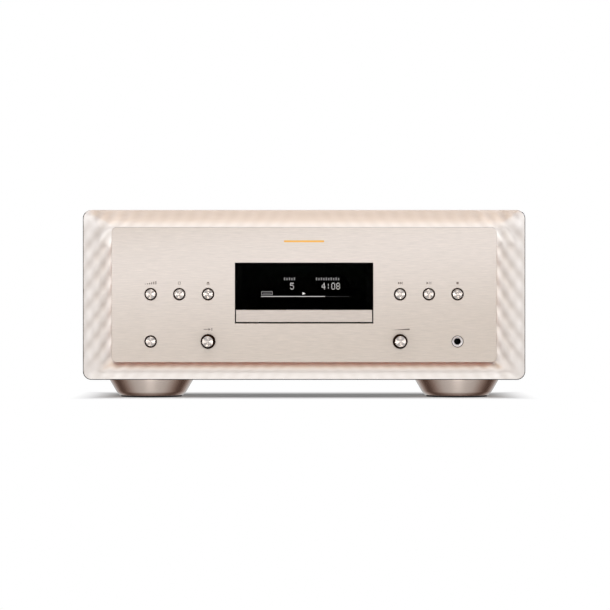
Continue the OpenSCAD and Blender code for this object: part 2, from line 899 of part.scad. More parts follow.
module phones_socket()
    color("#1a1a1a") in_frame() difference() {
        union() {
            bar_y(phones_at[0], socket_y, phones_at[1], phones_barrel_r, wave_t - socket_y + past);
            block([phones_at[0] - socket_case / 2, wave_t, phones_at[1] - socket_case / 2],
                  [phones_at[0] + socket_case / 2, socket_end, phones_at[1] + socket_case / 2]);
        }
        bar_y(phones_at[0], socket_y - past, phones_at[1], phones_bore_r, phones_bore_l + past);
    }

// The two boards behind the wave panel, with their standoffs and switches
module control_boards()
    color("#2f5a3c") in_frame() {
        for (side = [-1, 1]) difference() {
            union() {
                control_board(side);
                for (x = [inner_x - board_edge + standoff_in, outer_x + board_edge - standoff_in],
                     z = [row2_z - board_edge + standoff_in, row1_z + board_edge - standoff_in])
                    bar_y(side * x, wave_t, z, standoff_r, board_gap + board_t / 2);
            }
            upright(wave_t, board_gap + 2 * board_t)
                translate(phones_at) square(socket_case + 2 * slide_gap, center = true);
        }
        for (p = button_places) difference() {
            block([p[0] - switch_side / 2, switch_y, p[1] - switch_side / 2],
                  [p[0] + switch_side / 2, board_y, p[1] + switch_side / 2]);
            bar_y(p[0], switch_y - past, p[1], stem_hole_r, switch_bore + past);
        }
    }

module control_board(side) {
    near = inner_x - board_edge;
    far = outer_x + board_edge;
    block([side > 0 ? near : -far, board_y, row2_z - board_edge],
          [side > 0 ? far : -near, board_y + board_t, row1_z + board_edge]);
}

// Disc transport

// The frame that carries the tray, the drive and the clamp
module mech_frame()
    color("#4b4e52") in_frame() difference() {
        union() {
            block([-wall_x - wall_t, frame_y, frame_z - frame_t], [wall_x + wall_t, frame_end, frame_z]);
            for (side = [-1, 1]) frame_side(side);
            block([cam_x, traverse_y - cross_gap - cross_t, frame_z - past],
                  [cam_end_x + cam_slide, traverse_y - cross_gap, cam_top_z]);
            block([cam_x, traverse_end + cross_gap, frame_z - past],
                  [cam_end_x + cam_slide, traverse_end + cross_gap + cross_t, cam_top_z]);
            for (x = [-1, 1], y = [frame_y + leg_in, frame_end - leg_in])
                bar_z(x * (wall_x - leg_in), y, floor_z, leg_r, frame_z - frame_t / 2 - floor_z);
            bar_z(gear_x, gear_y, frame_z - past, gear_post_r, pulley_z - slide_gap - frame_z + past);
            bar_z(gear_x, gear_y, frame_z - past, gear_pin_r, gear_z + gear_t - frame_z + past);
        }
        for (x = lift_pins, y = [traverse_y - cross_gap - cross_t, traverse_end + cross_gap])
            upright_slot(x, y - past, cross_t + 2 * past);
    }

// A straight slot in which a lift pin rises
module upright_slot(x, y, t) {
    bar_y(x, y, lift_pin_z, lift_slot_r, t);
    bar_y(x, y, lift_pin_z + lift, lift_slot_r, t);
    block([x - lift_slot_r, y, lift_pin_z], [x + lift_slot_r, y + t, lift_pin_z + lift]);
}

// One side of the frame: wall, ledge under the tray and lip over it
module frame_side(side)
    mirror([side > 0 ? 0 : 1, 0, 0]) {
        block([wall_x, frame_y, frame_z - past], [wall_x + wall_t, frame_end, wall_top_z]);
        block([wall_x - ledge_w, frame_y, tray_z - slide_gap - rail_t],
              [wall_x + past, frame_end, tray_z - slide_gap]);
        block([wall_x - lip_w, frame_y, tray_top_z + slide_gap],
              [wall_x + past, frame_end, tray_top_z + slide_gap + rail_t]);
    }

// The disc tray, with wells for both disc sizes, the open slot and the groove with its rack
module tray()
    color("#2c2a2a") in_frame() difference() {
        block([-tray_w / 2, tray_y, tray_z], [tray_w / 2, tray_back, tray_top_z]);
        bar_z(0, spindle_y, well_z, well_r, well_depth + past);
        bar_z(0, spindle_y, well_z - small_well_depth, small_well_r, well_depth);
        block([-slot_w / 2, spindle_y, tray_z - past], [slot_w / 2, tray_back + past, tray_top_z + past]);
        bar_z(0, spindle_y, tray_z - past, slot_w / 2, tray_t + 2 * past);
        translate([0, 0, tray_z - past]) linear_extrude(groove_depth + past) mirror([1, 0])
            polygon(concat(
                [[-groove_x, tray_back + past], [-groove_x, groove_y]],
                [[-rack_x - tooth_in, groove_y]],
                rack_line(-rack_x, gear_y - 1.5 * pitch, rack_teeth),
                [[-rack_x - tooth_in, tray_back + past]]
            ));
    }

module tray_door()
    color("#d7cac0") in_frame()
        block([-door_w / 2, plate_y, door_z], [door_w / 2, tray_y, door_top_z]);

// Pulley, hub and gear in one piece
module loading_gear()
    color("#e8e4da") in_frame() difference() {
        union() {
            bar_z(gear_x, gear_y, pulley_z, pulley_r, pulley_t);
            bar_z(gear_x, gear_y, pulley_z, gear_hub_r, gear_z - pulley_z + gear_t);
            translate([gear_x, gear_y, gear_z]) linear_extrude(gear_t) gear_outline();
        }
        bar_z(gear_x, gear_y, pulley_z - past, gear_pin_r + run_gap, gear_z + gear_t - pulley_z + 2 * past);
    }

module belt_loop(out)
    hull() {
        translate([gear_x, gear_y]) circle(pulley_r + out);
        translate([gear_x, motor_y]) circle(motor_pulley_r + out);
    }

module drive_belt()
    color("#1d1b1b") in_frame() translate([0, 0, belt_z]) linear_extrude(belt_w) difference() {
        belt_loop(slide_gap + belt_t);
        belt_loop(slide_gap);
    }

module motor_pulley()
    color("#c9a45c") in_frame() {
        bar_z(gear_x, motor_y, pulley_z, motor_pulley_r, pulley_t);
        bar_z(gear_x, motor_y, pulley_z - motor_shaft_l, motor_shaft_r, motor_shaft_l + past);
    }

// A can motor that stands on the frame, with a bore for its shaft
module loading_motor()
    color("#a9acae") in_frame() difference() {
        bar_z(gear_x, motor_y, frame_z, motor_r, pulley_z - slide_gap - frame_z);
        bar_z(gear_x, motor_y, pulley_z - motor_shaft_l - slide_gap, motor_shaft_r + run_gap,
              motor_shaft_l + slide_gap + past);
    }

module clamp_bridge()
    color("#8b9094") in_frame() difference() {
        block([-wall_x - wall_t, spindle_y - bridge_y, wall_top_z],
              [wall_x + wall_t, spindle_y + bridge_y, wall_top_z + bridge_t]);
        bar_z(0, spindle_y, wall_top_z - past, bridge_bore_r, bridge_t + 2 * past);
    }

module clamp_puck()
    color("#d8d6d2") in_frame() turned_z([0, spindle_y], [
        [0, puck_z + puck_bore],
        [puck_bore_r, puck_z + puck_bore],
        [puck_bore_r, puck_z],
        [puck_r, puck_z],
        [puck_r, puck_flange_z],
        [puck_r + puck_flange, puck_flange_z],
        [puck_r + puck_flange, puck_flange_z + puck_flange_t],
        [0, puck_flange_z + puck_flange_t]
    ]);

// The rising sub-chassis: plate, end flanges with lift pins, rod lugs and the motor tab
module traverse_plate()
    color("#9ca1a4") in_frame() difference() {
        union() {
            block([-traverse_x, traverse_y, traverse_z], [traverse_x, traverse_end, traverse_top_z]);
            block([traverse_x - past, sled_gear_y - tab_y, traverse_z],
                  [tab_x, sled_gear_y + tab_y, traverse_top_z]);
            for (y = [traverse_y, traverse_end - lift_flange_t])
                block([lift_pins[0] - lift_flange_side, y, lift_flange_z],
                      [lift_pins[1] + lift_flange_side, y + lift_flange_t, traverse_z + past / 2]);
            for (x = lift_pins, y = [traverse_y - lift_pin_l, traverse_end - past])
                bar_y(x, y, lift_pin_z, lift_pin_r, lift_pin_l + past);
            for (x = [-rod_x, rod_x], y = [rod_y, rod_end - lug_t])
                block([x - lug_x, y, rod_z - lug_x], [x + lug_x, y + lug_t, traverse_z + past / 2]);
            for (y = [sled_gear_y - tab_y + tab_post_in, sled_gear_y + tab_y - tab_post_in])
                bar_z(tab_x - tab_post_in, y, sled_flange_top, tab_post_r,
                      traverse_z - sled_flange_top + past);
        }
        bar_z(0, spindle_y, traverse_z - past, spindle_hole_r, traverse_t + 2 * past);
        block([-head_x - window_gap, spindle_y + read_in - sled_front - window_gap, traverse_z - past],
              [head_x + window_gap, spindle_y + read_out + head_back + window_gap, traverse_top_z + past]);
        for (x = [-rod_x, rod_x])
            bar_y(x, rod_y - past, rod_z, rod_r + fit_gap, rod_end - rod_y + 2 * past);
    }

module guide_rods()
    color("#d6d8da") in_frame() for (x = [-rod_x, rod_x])
        bar_y(x, rod_y, rod_z, rod_r, rod_end - rod_y);

module spindle_motor()
    color("#aeb1b3") in_frame() difference() {
        bar_z(0, spindle_y, traverse_z - spindle_motor_h, spindle_motor_r, spindle_motor_h);
        bar_z(0, spindle_y, spindle_z, spindle_r + run_gap, spindle_motor_h);
    }

module turntable()
    color("#55585a") in_frame() turned_z([0, spindle_y], [
        [0, seat_z + boss_h],
        [boss_r - boss_chamfer, seat_z + boss_h],
        [boss_r, seat_z + boss_h - boss_chamfer],
        [boss_r, seat_z],
        [turntable_r, seat_z],
        [turntable_r, seat_z - turntable_t],
        [spindle_r, seat_z - turntable_t],
        [spindle_r, spindle_z + slide_gap],
        [0, spindle_z + slide_gap]
    ]);

// The pickup's carriage, with bores for its rods, its optical head and its rack
module pickup_sled()
    color("#3a3d40") in_frame() difference() {
        union() {
            block([-sled_x, lens_y - sled_front, sled_z], [sled_x, lens_y + sled_back, sled_top_z]);
            block([-head_x, lens_y - sled_front, sled_top_z - past], [head_x, lens_y + head_back, lens_z]);
            translate([0, 0, sled_gear_z]) linear_extrude(sled_gear_t) polygon(concat(
                [[sled_x - slide_gap, sled_rack_y - pitch / 2]],
                [[sled_rack_x - tooth_in, sled_rack_y - pitch / 2]],
                rack_line(sled_rack_x, sled_rack_y, sled_rack_teeth),
                [[sled_rack_x - tooth_in, sled_rack_y + (sled_rack_teeth - 0.5) * pitch]],
                [[sled_x - slide_gap, sled_rack_y + (sled_rack_teeth - 0.5) * pitch]]
            ));
        }
        for (x = [-rod_x, rod_x])
            bar_y(x, lens_y - sled_front - past, rod_z, rod_r + run_gap,
                  sled_front + sled_back + 2 * past);
    }

module pickup_lens()
    color("#7fa0b8") in_frame() bar_z(0, lens_y, lens_z, lens_r, lens_h);

module sled_gear()
    color("#e8e4da") in_frame() {
        translate([sled_gear_x, sled_gear_y, sled_gear_z]) linear_extrude(sled_gear_t) gear_outline();
        bar_z(sled_gear_x, sled_gear_y, sled_motor_z + sled_motor_back, motor_shaft_r,
              sled_gear_z - sled_motor_z - sled_motor_back + past);
    }

module sled_motor()
    color("#a9acae") in_frame() difference() {
        union() {
            bar_z(sled_gear_x, sled_gear_y, sled_motor_z, sled_motor_r, sled_flange_top - sled_motor_z);
            block([sled_gear_x - sled_motor_r, sled_gear_y - tab_y, sled_flange_top - sled_flange_t],
                  [tab_x, sled_gear_y + tab_y, sled_flange_top]);
        }
        bar_z(sled_gear_x, sled_gear_y, sled_motor_z + sled_motor_back - slide_gap, motor_shaft_r + run_gap,
              sled_flange_top - sled_motor_z);
    }

// The slider whose sloped slots raise the traverse
module lift_cam()
    color("#d9d4c8") in_frame() difference() {
        union() {
            block([cam_x, traverse_y - cam_gap - cam_t, cam_z],
                  [cam_end_x, traverse_end + cam_gap + cam_t, cam_z + cam_base_t]);
            for (y = [traverse_y - cam_gap - cam_t, traverse_end + cam_gap])
                block([cam_x, y, cam_z], [cam_end_x, y + cam_t, cam_top_z]);
        }
        for (x = lift_pins, y = [traverse_y - cam_gap - cam_t, traverse_end + cam_gap])
            sloped_slot(x, y - past, cam_t + 2 * past);
    }

// A slot from a pin's rest to its raised place, seen from the sliding cam
module sloped_slot(x, y, t) {
    run = sqrt(cam_slide * cam_slide + lift * lift);
    bar_y(x, y, lift_pin_z, lift_slot_r, t);
    bar_y(x - cam_slide, y, lift_pin_z + lift, lift_slot_r, t);
    translate([x, y, lift_pin_z]) rotate([0, atan2(lift, cam_slide), 0])
        translate([-run, 0, -lift_slot_r]) cube([run, t, 2 * lift_slot_r]);
}

// Power supply, boards and rear sockets

module transformer_can()
    color("#7a4a2e") in_frame() bar_z(can_at[0], can_at[1], floor_z, can_r, can_h);

module power_board()
    color("#2f5a3c") in_frame()
        block([-side_board_x - side_board_w, power_board_y, board_z],
              [-side_board_x, power_board_y + power_board_d, board_z + board_t]);

module capacitors()
    color("#26303f") in_frame() for (i = [-1, 1], j = [-1, 0, 1])
        bar_z(-side_board_x - side_board_w / 2 + i * (cap_r + cap_gap_x / 2),
              power_board_y + power_board_d / 2 + j * (2 * cap_r + cap_gap_y), board_z + board_t, cap_r,
              cap_h);

module signal_boards()
    color("#2f5a3c") in_frame() {
        block([side_board_x, signal_board_y, board_z],
              [side_board_x + side_board_w, signal_board_end, board_z + board_t]);
        block([-middle_board_x, middle_board_y, board_z],
              [middle_board_x, signal_board_end, board_z + board_t]);
    }

// Flat cables from the control boards to the signal boards, and the leads of the power board
module wiring()
    color("#b9b4aa") in_frame() {
        for (side = [-1, 1]) {
            ribbon(side * ribbon_x);
            link(side);
        }
        block([-ribbon_x, signal_board_y, board_z + board_t],
              [side_board_x + ribbon_on, signal_board_y + ribbon_on, board_z + board_t + ribbon_t]);
        lead(can_at[0], can_at[1] + can_r - lead_on, power_board_y + ribbon_t, power_board_y,
             floor_z + can_h);
        lead(inlet_x, power_board_y + power_board_d - ribbon_on, inlet_end,
             power_board_y + power_board_d - ribbon_on, socket_z);
    }

// A flat lead that runs from one depth to another and comes down to the power board
module lead(x, y, y_end, down_y, z) {
    block([x - ribbon_w / 2, y, z], [x + ribbon_w / 2, y_end, z + ribbon_t]);
    block([x - ribbon_w / 2, down_y, board_z + board_t], [x + ribbon_w / 2, down_y + ribbon_t, z + ribbon_t]);
}

// A flat cable from a control board down and back to the front edge of the signal board
module ribbon(x) {
    y = board_y + board_t;
    z = board_z + board_t;
    block([x - ribbon_w / 2, y, z], [x + ribbon_w / 2, y + ribbon_t, row2_z - board_edge + ribbon_on]);
    block([x - ribbon_w / 2, y, z], [x + ribbon_w / 2, signal_board_y + ribbon_on, z + ribbon_t]);
}

// A short flat cable from the middle board to the board beside it
module link(side)
    mirror([side > 0 ? 0 : 1, 0, 0])
        block([middle_board_x - ribbon_on, link_y, board_z + board_t],
              [side_board_x + ribbon_on, link_y + ribbon_w, board_z + board_t + ribbon_t]);

module ac_inlet()
    color("#1b1b1b") in_frame() {
        difference() {
            union() {
                inlet_block(inlet_out_w, inlet_out_h, inlet_end, body_d + past);
                inlet_block(inlet_out_w + 2 * inlet_flange, inlet_out_h + 2 * inlet_flange, body_d,
                            body_d + inlet_flange_t);
            }
            inlet_block(inlet_w, inlet_h, body_d + inlet_flange_t - inlet_d, body_d + inlet_flange_t + past);
        }
        for (p = blade_places)
            translate([inlet_x + p[0] - blade[0] / 2, body_d + inlet_flange_t - inlet_d - past,
                       socket_z + p[1] - blade[2] / 2])
                cube([blade[0], blade[1] + past, blade[2]]);
    }

module inlet_block(w, h, y, y_end)
    block([inlet_x - w / 2, y, socket_z - h / 2], [inlet_x + w / 2, y_end, socket_z + h / 2]);

module rear_sockets()
    color("#c9a45c") in_frame() {
        for (x = round_socket_xs)
            turned_y([x, socket_z], back_y - socket_body_l, [
                [0, 0],
                [socket_body_r, 0],
                [socket_body_r, socket_body_l + rear_t],
                [socket_flange_r, socket_body_l + rear_t],
                [socket_flange_r, socket_body_l + rear_t + socket_flange_t],
                [socket_r, socket_body_l + rear_t + socket_flange_t],
                [socket_r, socket_body_l + rear_t + socket_l],
                [socket_pin_r, socket_body_l + rear_t + socket_l],
                [socket_pin_r, socket_body_l + rear_t],
                [0, socket_body_l + rear_t]
            ]);
        for (x = square_socket_xs) {
            square_block(x, square_socket, back_y - socket_body_l, body_d);
            square_block(x, square_flange, body_d, body_d + square_flange_t);
        }
    }

module square_block(x, side, y, y_end)
    block([x - side / 2, y, socket_z - side / 2], [x + side / 2, y_end, socket_z + side / 2]);

base_plate();
wave_panel();
plate_spacer();
front_plate();
left_side_panel();
right_side_panel();
top_cover();
rear_panel();
front_left_foot();
front_right_foot();
rear_left_foot();
rear_right_foot();
foot_pads();
foot_bolts();
casing_screws();
display_window();
display_module();
power_button();
dimmer_button();
layer_button();
eject_button();
skip_button();
play_button();
stop_button();
button_rings();
knob_rings();
input_knob();
level_knob();
input_shaft();
level_shaft();
input_encoder();
level_control();
phones_ring();
phones_socket();
control_boards();
mech_frame();
tray();
tray_door();
loading_gear();
drive_belt();
motor_pulley();
loading_motor();
clamp_bridge();
clamp_puck();
traverse_plate();
guide_rods();
spindle_motor();
turntable();
pickup_sled();
pickup_lens();
sled_gear();
sled_motor();
lift_cam();
transformer_can();
power_board();
capacitors();
signal_boards();
wiring();
ac_inlet();
rear_sockets();
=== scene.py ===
import math

import bmesh
import bpy
import numpy as np
from mathutils import Matrix, Quaternion, Vector


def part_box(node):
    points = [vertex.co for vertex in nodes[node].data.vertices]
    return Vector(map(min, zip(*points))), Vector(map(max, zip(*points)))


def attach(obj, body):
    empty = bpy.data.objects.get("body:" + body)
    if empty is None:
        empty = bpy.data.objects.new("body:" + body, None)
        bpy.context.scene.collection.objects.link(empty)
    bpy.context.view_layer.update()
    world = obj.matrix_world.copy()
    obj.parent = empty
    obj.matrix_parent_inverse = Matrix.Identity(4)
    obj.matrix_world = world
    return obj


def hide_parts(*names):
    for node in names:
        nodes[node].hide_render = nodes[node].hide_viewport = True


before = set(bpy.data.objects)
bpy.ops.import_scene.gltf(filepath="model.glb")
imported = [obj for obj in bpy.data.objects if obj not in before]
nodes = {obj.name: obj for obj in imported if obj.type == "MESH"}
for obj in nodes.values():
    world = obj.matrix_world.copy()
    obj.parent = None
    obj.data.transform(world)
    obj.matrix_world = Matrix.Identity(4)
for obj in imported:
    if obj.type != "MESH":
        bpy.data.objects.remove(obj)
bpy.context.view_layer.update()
mm = 0.001


# Camera and studio
# The player is seen level and from straight ahead, from a little over two metres. Soft lamps hang in front
# and overhead, the slab has a narrow strip lamp of its own, and warm cards light the spun faces alone.
# Shiny metal mirrors a grey studio that is brightest in front, low down and a little above the middle.

panel_face_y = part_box("wave_panel")[0].y
camera_distance = 2.2
frame_pixels = 610
pixels_per_metre = 1005.45
sensor_width = 36.0
camera_x, camera_z = 0.9 * mm, 93.4 * mm

camera_data = bpy.data.cameras.new("camera")
camera_data.sensor_width = sensor_width
camera_data.lens = pixels_per_metre * camera_distance * sensor_width / frame_pixels
camera = bpy.data.objects.new("camera", camera_data)
camera.location = (camera_x, panel_face_y - camera_distance, camera_z)
camera.rotation_euler = (math.pi / 2, 0, 0)
bpy.context.collection.objects.link(camera)
bpy.context.scene.camera = camera
bpy.context.scene.view_settings.view_transform = "Standard"


def set_sockets(node, **sockets):
    """Gives named sockets of a node a value or a link from a socket (underscores stand for spaces)."""
    for name, value in sockets.items():
        socket = node.inputs[name.replace("_", " ")]
        if isinstance(value, bpy.types.NodeSocket):
            node.id_data.links.new(value, socket)
        else:
            socket.default_value = value
    return node


def add_node(tree, kind, **sockets):
    """One shader node of a kind, with its named sockets set."""
    return set_sockets(tree.nodes.new("ShaderNode" + kind), **sockets)


def ramp_node(tree, source, stops):
    """A colour ramp of grey levels: each stop is a position and a level, joined by straight lines."""
    ramp = add_node(tree, "ValToRGB", Fac=source)
    while len(ramp.color_ramp.elements) < len(stops):
        ramp.color_ramp.elements.new(0.5)
    for element, (position, level) in zip(ramp.color_ramp.elements, stops):
        element.position = position
        element.color = (level, level, level, 1)
    return ramp.outputs["Color"]


def maths(tree, operation, first, second=None):
    """The result of one sum on two sockets or numbers."""
    node = add_node(tree, "Math")
    node.operation = operation
    for socket, value in zip(node.inputs, (first, second)):
        if isinstance(value, (int, float)):
            socket.default_value = value
        elif value is not None:
            tree.links.new(value, socket)
    return node.outputs[0]


def between(tree, share, first, second):
    """A level, or a colour if an end is a tuple, that runs from first to second as share goes from 0 to 1."""
    node = add_node(tree, "Mix")
    node.data_type = "RGBA" if tuple in (type(first), type(second)) else "FLOAT"
    set_sockets(node, Factor=share, A=first, B=second)
    return node.outputs["Result"]


def mix_shaders(tree, share, first, second):
    """A shader that runs from the first to the second as share goes from 0 to 1."""
    node = add_node(tree, "MixShader")
    for socket, source in zip(node.inputs, (share, first.outputs[0], second.outputs[0])):
        tree.links.new(source, socket)
    return node


studio = bpy.data.worlds.new("studio")
bpy.context.scene.world = studio
studio.use_nodes = True
sky = studio.node_tree
sky.nodes.clear()
path = add_node(sky, "LightPath")
direction = add_node(sky, "SeparateXYZ", Vector=add_node(sky, "TexCoord").outputs["Generated"])
ray_x, ray_y, ray_z = (direction.outputs[axis] for axis in "XYZ")
sideways = maths(sky, "ABSOLUTE", ray_x)
upright = maths(sky, "ABSOLUTE", ray_z)
facing = maths(sky, "ADD", maths(sky, "MULTIPLY", ray_y, 0.5), 0.5)
above = ramp_node(sky, ray_z, [(0.0, 0.0), (0.04, 1.0)])
below = ramp_node(sky, maths(sky, "MULTIPLY", ray_z, -1.0), [(0.04, 0.0), (0.18, 1.0)])
behind = ramp_node(sky, ray_y, [(0.42, 0.0), (0.62, 1.0)])
to_front = ramp_node(sky, facing, [(0.3, 1.0), (0.45, 0.0)])
slanting = maths(sky, "MULTIPLY", ramp_node(sky, sideways, [(0.12, 0.0), (0.32, 1.0)]),
                 ramp_node(sky, upright, [(0.12, 0.0), (0.32, 1.0)]))
slanting = maths(sky, "MULTIPLY", slanting, ramp_node(sky, facing, [(0.14, 1.0), (0.2, 0.0)]))
level_ahead = ramp_node(sky, sideways, [(0.0, 0.14), (0.15, 0.22), (0.35, 0.6), (0.6, 0.42), (1.0, 0.3)])
level_below = ramp_node(sky, facing, [
    (0.0, 2.7), (0.1, 2.4), (0.17, 1.5), (0.2, 1.05), (0.226, 0.82), (0.257, 0.68), (0.35, 0.6), (0.41, 0.5),
    (0.484, 0.33), (0.567, 0.2), (0.66, 0.08), (0.763, 0.09), (0.876, 0.42), (1.0, 0.75)])
level_high = ramp_node(sky, ray_z, [(0.04, 2.3), (0.24, 2.3), (0.36, 1.45), (0.5, 0.8)])
level_high_aside, level_behind, level_slanting = 0.8, 0.6, 0.25
level_above = between(sky, above, level_ahead, between(sky, to_front, level_high_aside, level_high))
gloss_level = between(sky, below, between(sky, behind, level_above, level_behind), level_below)
gloss_level = between(sky, slanting, gloss_level, level_slanting)
white, room_glow = (1, 1, 1, 1), (1.0, 0.7, 0.48, 1)
warm_grey, cool_white, amber = (1.0, 0.64, 0.52, 1), (0.94, 1.0, 1.05, 1), (1.0, 0.68, 0.36, 1)
seen = add_node(sky, "Background", Color=white, Strength=1.0)
soft = add_node(sky, "Background", Color=room_glow, Strength=0.26)
warmth = between(sky, ramp_node(sky, gloss_level, [(0.0, 0.0), (0.6, 1.0)]), warm_grey, cool_white)
amber_share = maths(sky, "MULTIPLY", ramp_node(sky, ray_z, [(0.18, 0.0), (0.38, 1.0)]), to_front)
amber_share = maths(sky, "MULTIPLY", amber_share, ramp_node(sky, sideways, [(0.1, 1.0), (0.26, 0.0)]))
mirrored = add_node(sky, "Background", Color=between(sky, amber_share, warmth, amber), Strength=gloss_level)
shining = maths(sky, "MAXIMUM", path.outputs["Is Glossy Ray"], path.outputs["Is Transmission Ray"])
gloss_mix = mix_shaders(sky, shining, soft, mirrored)
camera_mix = mix_shaders(sky, path.outputs["Is Camera Ray"], gloss_mix, seen)
add_node(sky, "OutputWorld", Surface=camera_mix.outputs[0])


def soft_lamp(name, place, aim, size, power, colour, beam=180, roll=0):
    """A rectangular lamp that faces the point aim, with its beam's width and its roll in degrees."""
    lamp = bpy.data.lights.new(name, "AREA")
    lamp.shape = "RECTANGLE"
    lamp.size, lamp.size_y = size
    lamp.energy = power
    lamp.color = colour
    lamp.spread = math.radians(beam)
    held = bpy.data.objects.new(name, lamp)
    held.location = place
    turn = (Vector(aim) - Vector(place)).to_track_quat("-Z", "Y") @ Quaternion((0, 0, 1), math.radians(roll))
    held.rotation_euler = turn.to_euler()
    bpy.context.collection.objects.link(held)
    held.visible_camera = False
    return held


key = soft_lamp("key_lamp", place=(0, -3.0, 1.5), aim=(0, -0.19, 0.1), size=(0.9, 0.35), power=36,
                colour=(0.97, 0.98, 1.0))
strip = soft_lamp("strip_lamp", place=(0, -0.5, 0.5), aim=(0, -0.19, 0.14), size=(1.4, 0.06), power=3.6,
                  colour=(0.78, 0.86, 1.0))
slab_strip = soft_lamp("slab_strip", place=(0, -0.4, 0.42), aim=(0, -0.2087, 0.154), size=(1.4, 0.03),
                       power=0.42, colour=(0.57, 0.66, 0.83), beam=17, roll=2.6)
overhead = soft_lamp("overhead_lamp", place=(0, -0.2, 1.2), aim=(0, -0.1, 0.1), size=(1.2, 0.5), power=5.5,
                     colour=(0.95, 0.97, 1.0))
for lamp in (key, strip, slab_strip, overhead):
    lamp.visible_glossy = False
slab_pieces = bpy.data.collections.new("slab_pieces")
slab_strip.light_linking.receiver_collection = slab_pieces
beside_slab = bpy.data.collections.new("beside_slab")
for lamp in (key, strip):
    lamp.light_linking.receiver_collection = beside_slab


def light_slab(piece):
    """Gives a piece of the slab its own strip lamp and keeps the general lamps in front off it."""
    slab_pieces.objects.link(piece)
    beside_slab.objects.link(piece)
    beside_slab.collection_objects[-1].light_linking.link_state = "EXCLUDE"


spun_pieces = bpy.data.collections.new("spun_pieces")
card_colour, card_aim = (1.0, 0.95, 0.89), (0, -0.19, 0.08)
cards = [soft_lamp("side_card", place=(1.1 * side, -1.9, 0.12), aim=card_aim, size=(0.35, 0.75), power=25,
                   colour=card_colour) for side in (-1, 1)]
cards.append(soft_lamp("top_card", place=(0, -1.8, 1.3), aim=card_aim, size=(0.4, 0.35), power=19,
                       colour=card_colour))
for card in cards:
    card.light_linking.receiver_collection = spun_pieces


# Floor
# A pale seamless sheet of paper lies under the player and runs out far on every side.
# It keeps the player's shadow near it and fades to white further out.

floor_reach, floor_drop = 8.0, 0.05 * mm
floor_mesh = bpy.data.meshes.new("floor")
floor_mesh.from_pydata([(x * floor_reach, y * floor_reach, -floor_drop)
                        for x, y in ((-1, -1), (1, -1), (1, 1), (-1, 1))], [], [(0, 1, 2, 3)])
floor = bpy.data.objects.new("floor", floor_mesh)
bpy.context.collection.objects.link(floor)


def object_place(tree):
    """A point's X, Y and Z in Object coordinates, as sockets."""
    return add_node(tree, "SeparateXYZ", Vector=add_node(tree, "TexCoord").outputs["Object"]).outputs


def plain_finish(name, colour, rough, metal=0.0, specular=0.5):
    """A material whose Principled shader has these constant values; returns it, its tree and the shader."""
    material = bpy.data.materials.new(name)
    material.use_nodes = True
    shader = set_sockets(material.node_tree.nodes["Principled BSDF"], Base_Color=colour, Roughness=rough,
                         Metallic=metal, Specular_IOR_Level=specular)
    return material, material.node_tree, shader


paper, tree, shader = plain_finish("floor_paper", (0.66, 0.665, 0.68, 1), rough=0.9, specular=0.0)
place = object_place(tree)
near_share = 0.14
aside = ramp_node(tree, maths(tree, "ABSOLUTE", place["X"]), [(0.19, near_share), (0.235, 1.0)])
rearward = ramp_node(tree, maths(tree, "ADD", place["Y"], 0.5), [(0.432, near_share), (0.5, 1.0)])
forward = ramp_node(tree, maths(tree, "MULTIPLY", place["Y"], -1.0), [(0.138, near_share), (0.193, 1.0)])
clear = maths(tree, "MAXIMUM", maths(tree, "MAXIMUM", aside, rearward), forward)
white_paper = add_node(tree, "Emission", Color=white, Strength=1.0)
seen_clear = maths(tree, "MULTIPLY", clear, add_node(tree, "LightPath").outputs["Is Camera Ray"])
fade = mix_shaders(tree, seen_clear, shader, white_paper)
set_sockets(tree.nodes["Material Output"], Surface=fade.outputs[0])
floor.data.materials.append(paper)
floor.visible_glossy = False


# Base plate and screws
# The base is plated sheet steel with pressed studs for the boards.
# The casing screws are black and sit round the edge of the rear panel.

def srgb(red, green, blue):
    """A colour of 0 to 255 as seen on a screen, in the linear values that a shader takes."""
    seen_value = np.array([red, green, blue]) / 255
    linear = np.where(seen_value <= 0.04045, seen_value / 12.92, ((seen_value + 0.055) / 1.055) ** 2.4)
    return (*linear.tolist(), 1.0)


def grain(tree, scale, detail=3.0, noise_rough=0.55, source=None):
    """Noise on Object coordinates or on another source; scale is cycles per metre, one for all ways or along
    X, Y and Z."""
    if source is None:
        source = add_node(tree, "TexCoord").outputs["Object"]
    mapping = add_node(tree, "Mapping", Vector=source, Scale=np.broadcast_to(scale, 3))
    noise = add_node(tree, "TexNoise", Vector=mapping.outputs["Vector"], Scale=1.0, Detail=detail,
                     Roughness=noise_rough)
    return noise.outputs["Fac"]


def vary(tree, shader, factor, dark, light):
    """The base colour runs from dark to light with the factor."""
    set_sockets(shader, Base_Color=between(tree, factor, dark, light))


def rough_range(tree, shader, factor, low, high):
    """The roughness runs from low to high with the factor."""
    spread = add_node(tree, "MapRange", Value=factor, To_Min=low, To_Max=high)
    set_sockets(shader, Roughness=spread.outputs["Result"])


def bumps(tree, shader, factor, height):
    """Small relief of that height in metres."""
    bump = add_node(tree, "Bump", Height=factor, Strength=1.0, Distance=height)
    set_sockets(shader, Normal=bump.outputs["Normal"])


def shade(colour, share):
    """The same colour with its light multiplied by share."""
    return (*(level * share for level in colour[:3]), 1.0)


def mottled(name, colour, rough, metal=0.0, scale=900, contrast=0.1, relief=0.01 * mm, specular=0.5,
            spread=0.06, **noise_values):
    """A finish with noise in colour, roughness and relief; spread is how far the roughness varies."""
    material, tree, shader = plain_finish(name, colour, rough, metal, specular)
    noise = grain(tree, scale, **noise_values)
    vary(tree, shader, noise, shade(colour, 1 - contrast), shade(colour, 1 + contrast))
    rough_range(tree, shader, noise, rough - spread, rough + spread)
    bumps(tree, shader, noise, relief)
    return material


def dress(material, *names):
    """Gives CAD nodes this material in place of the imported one."""
    for name in names:
        nodes[name].data.materials.clear()
        nodes[name].data.materials.append(material)


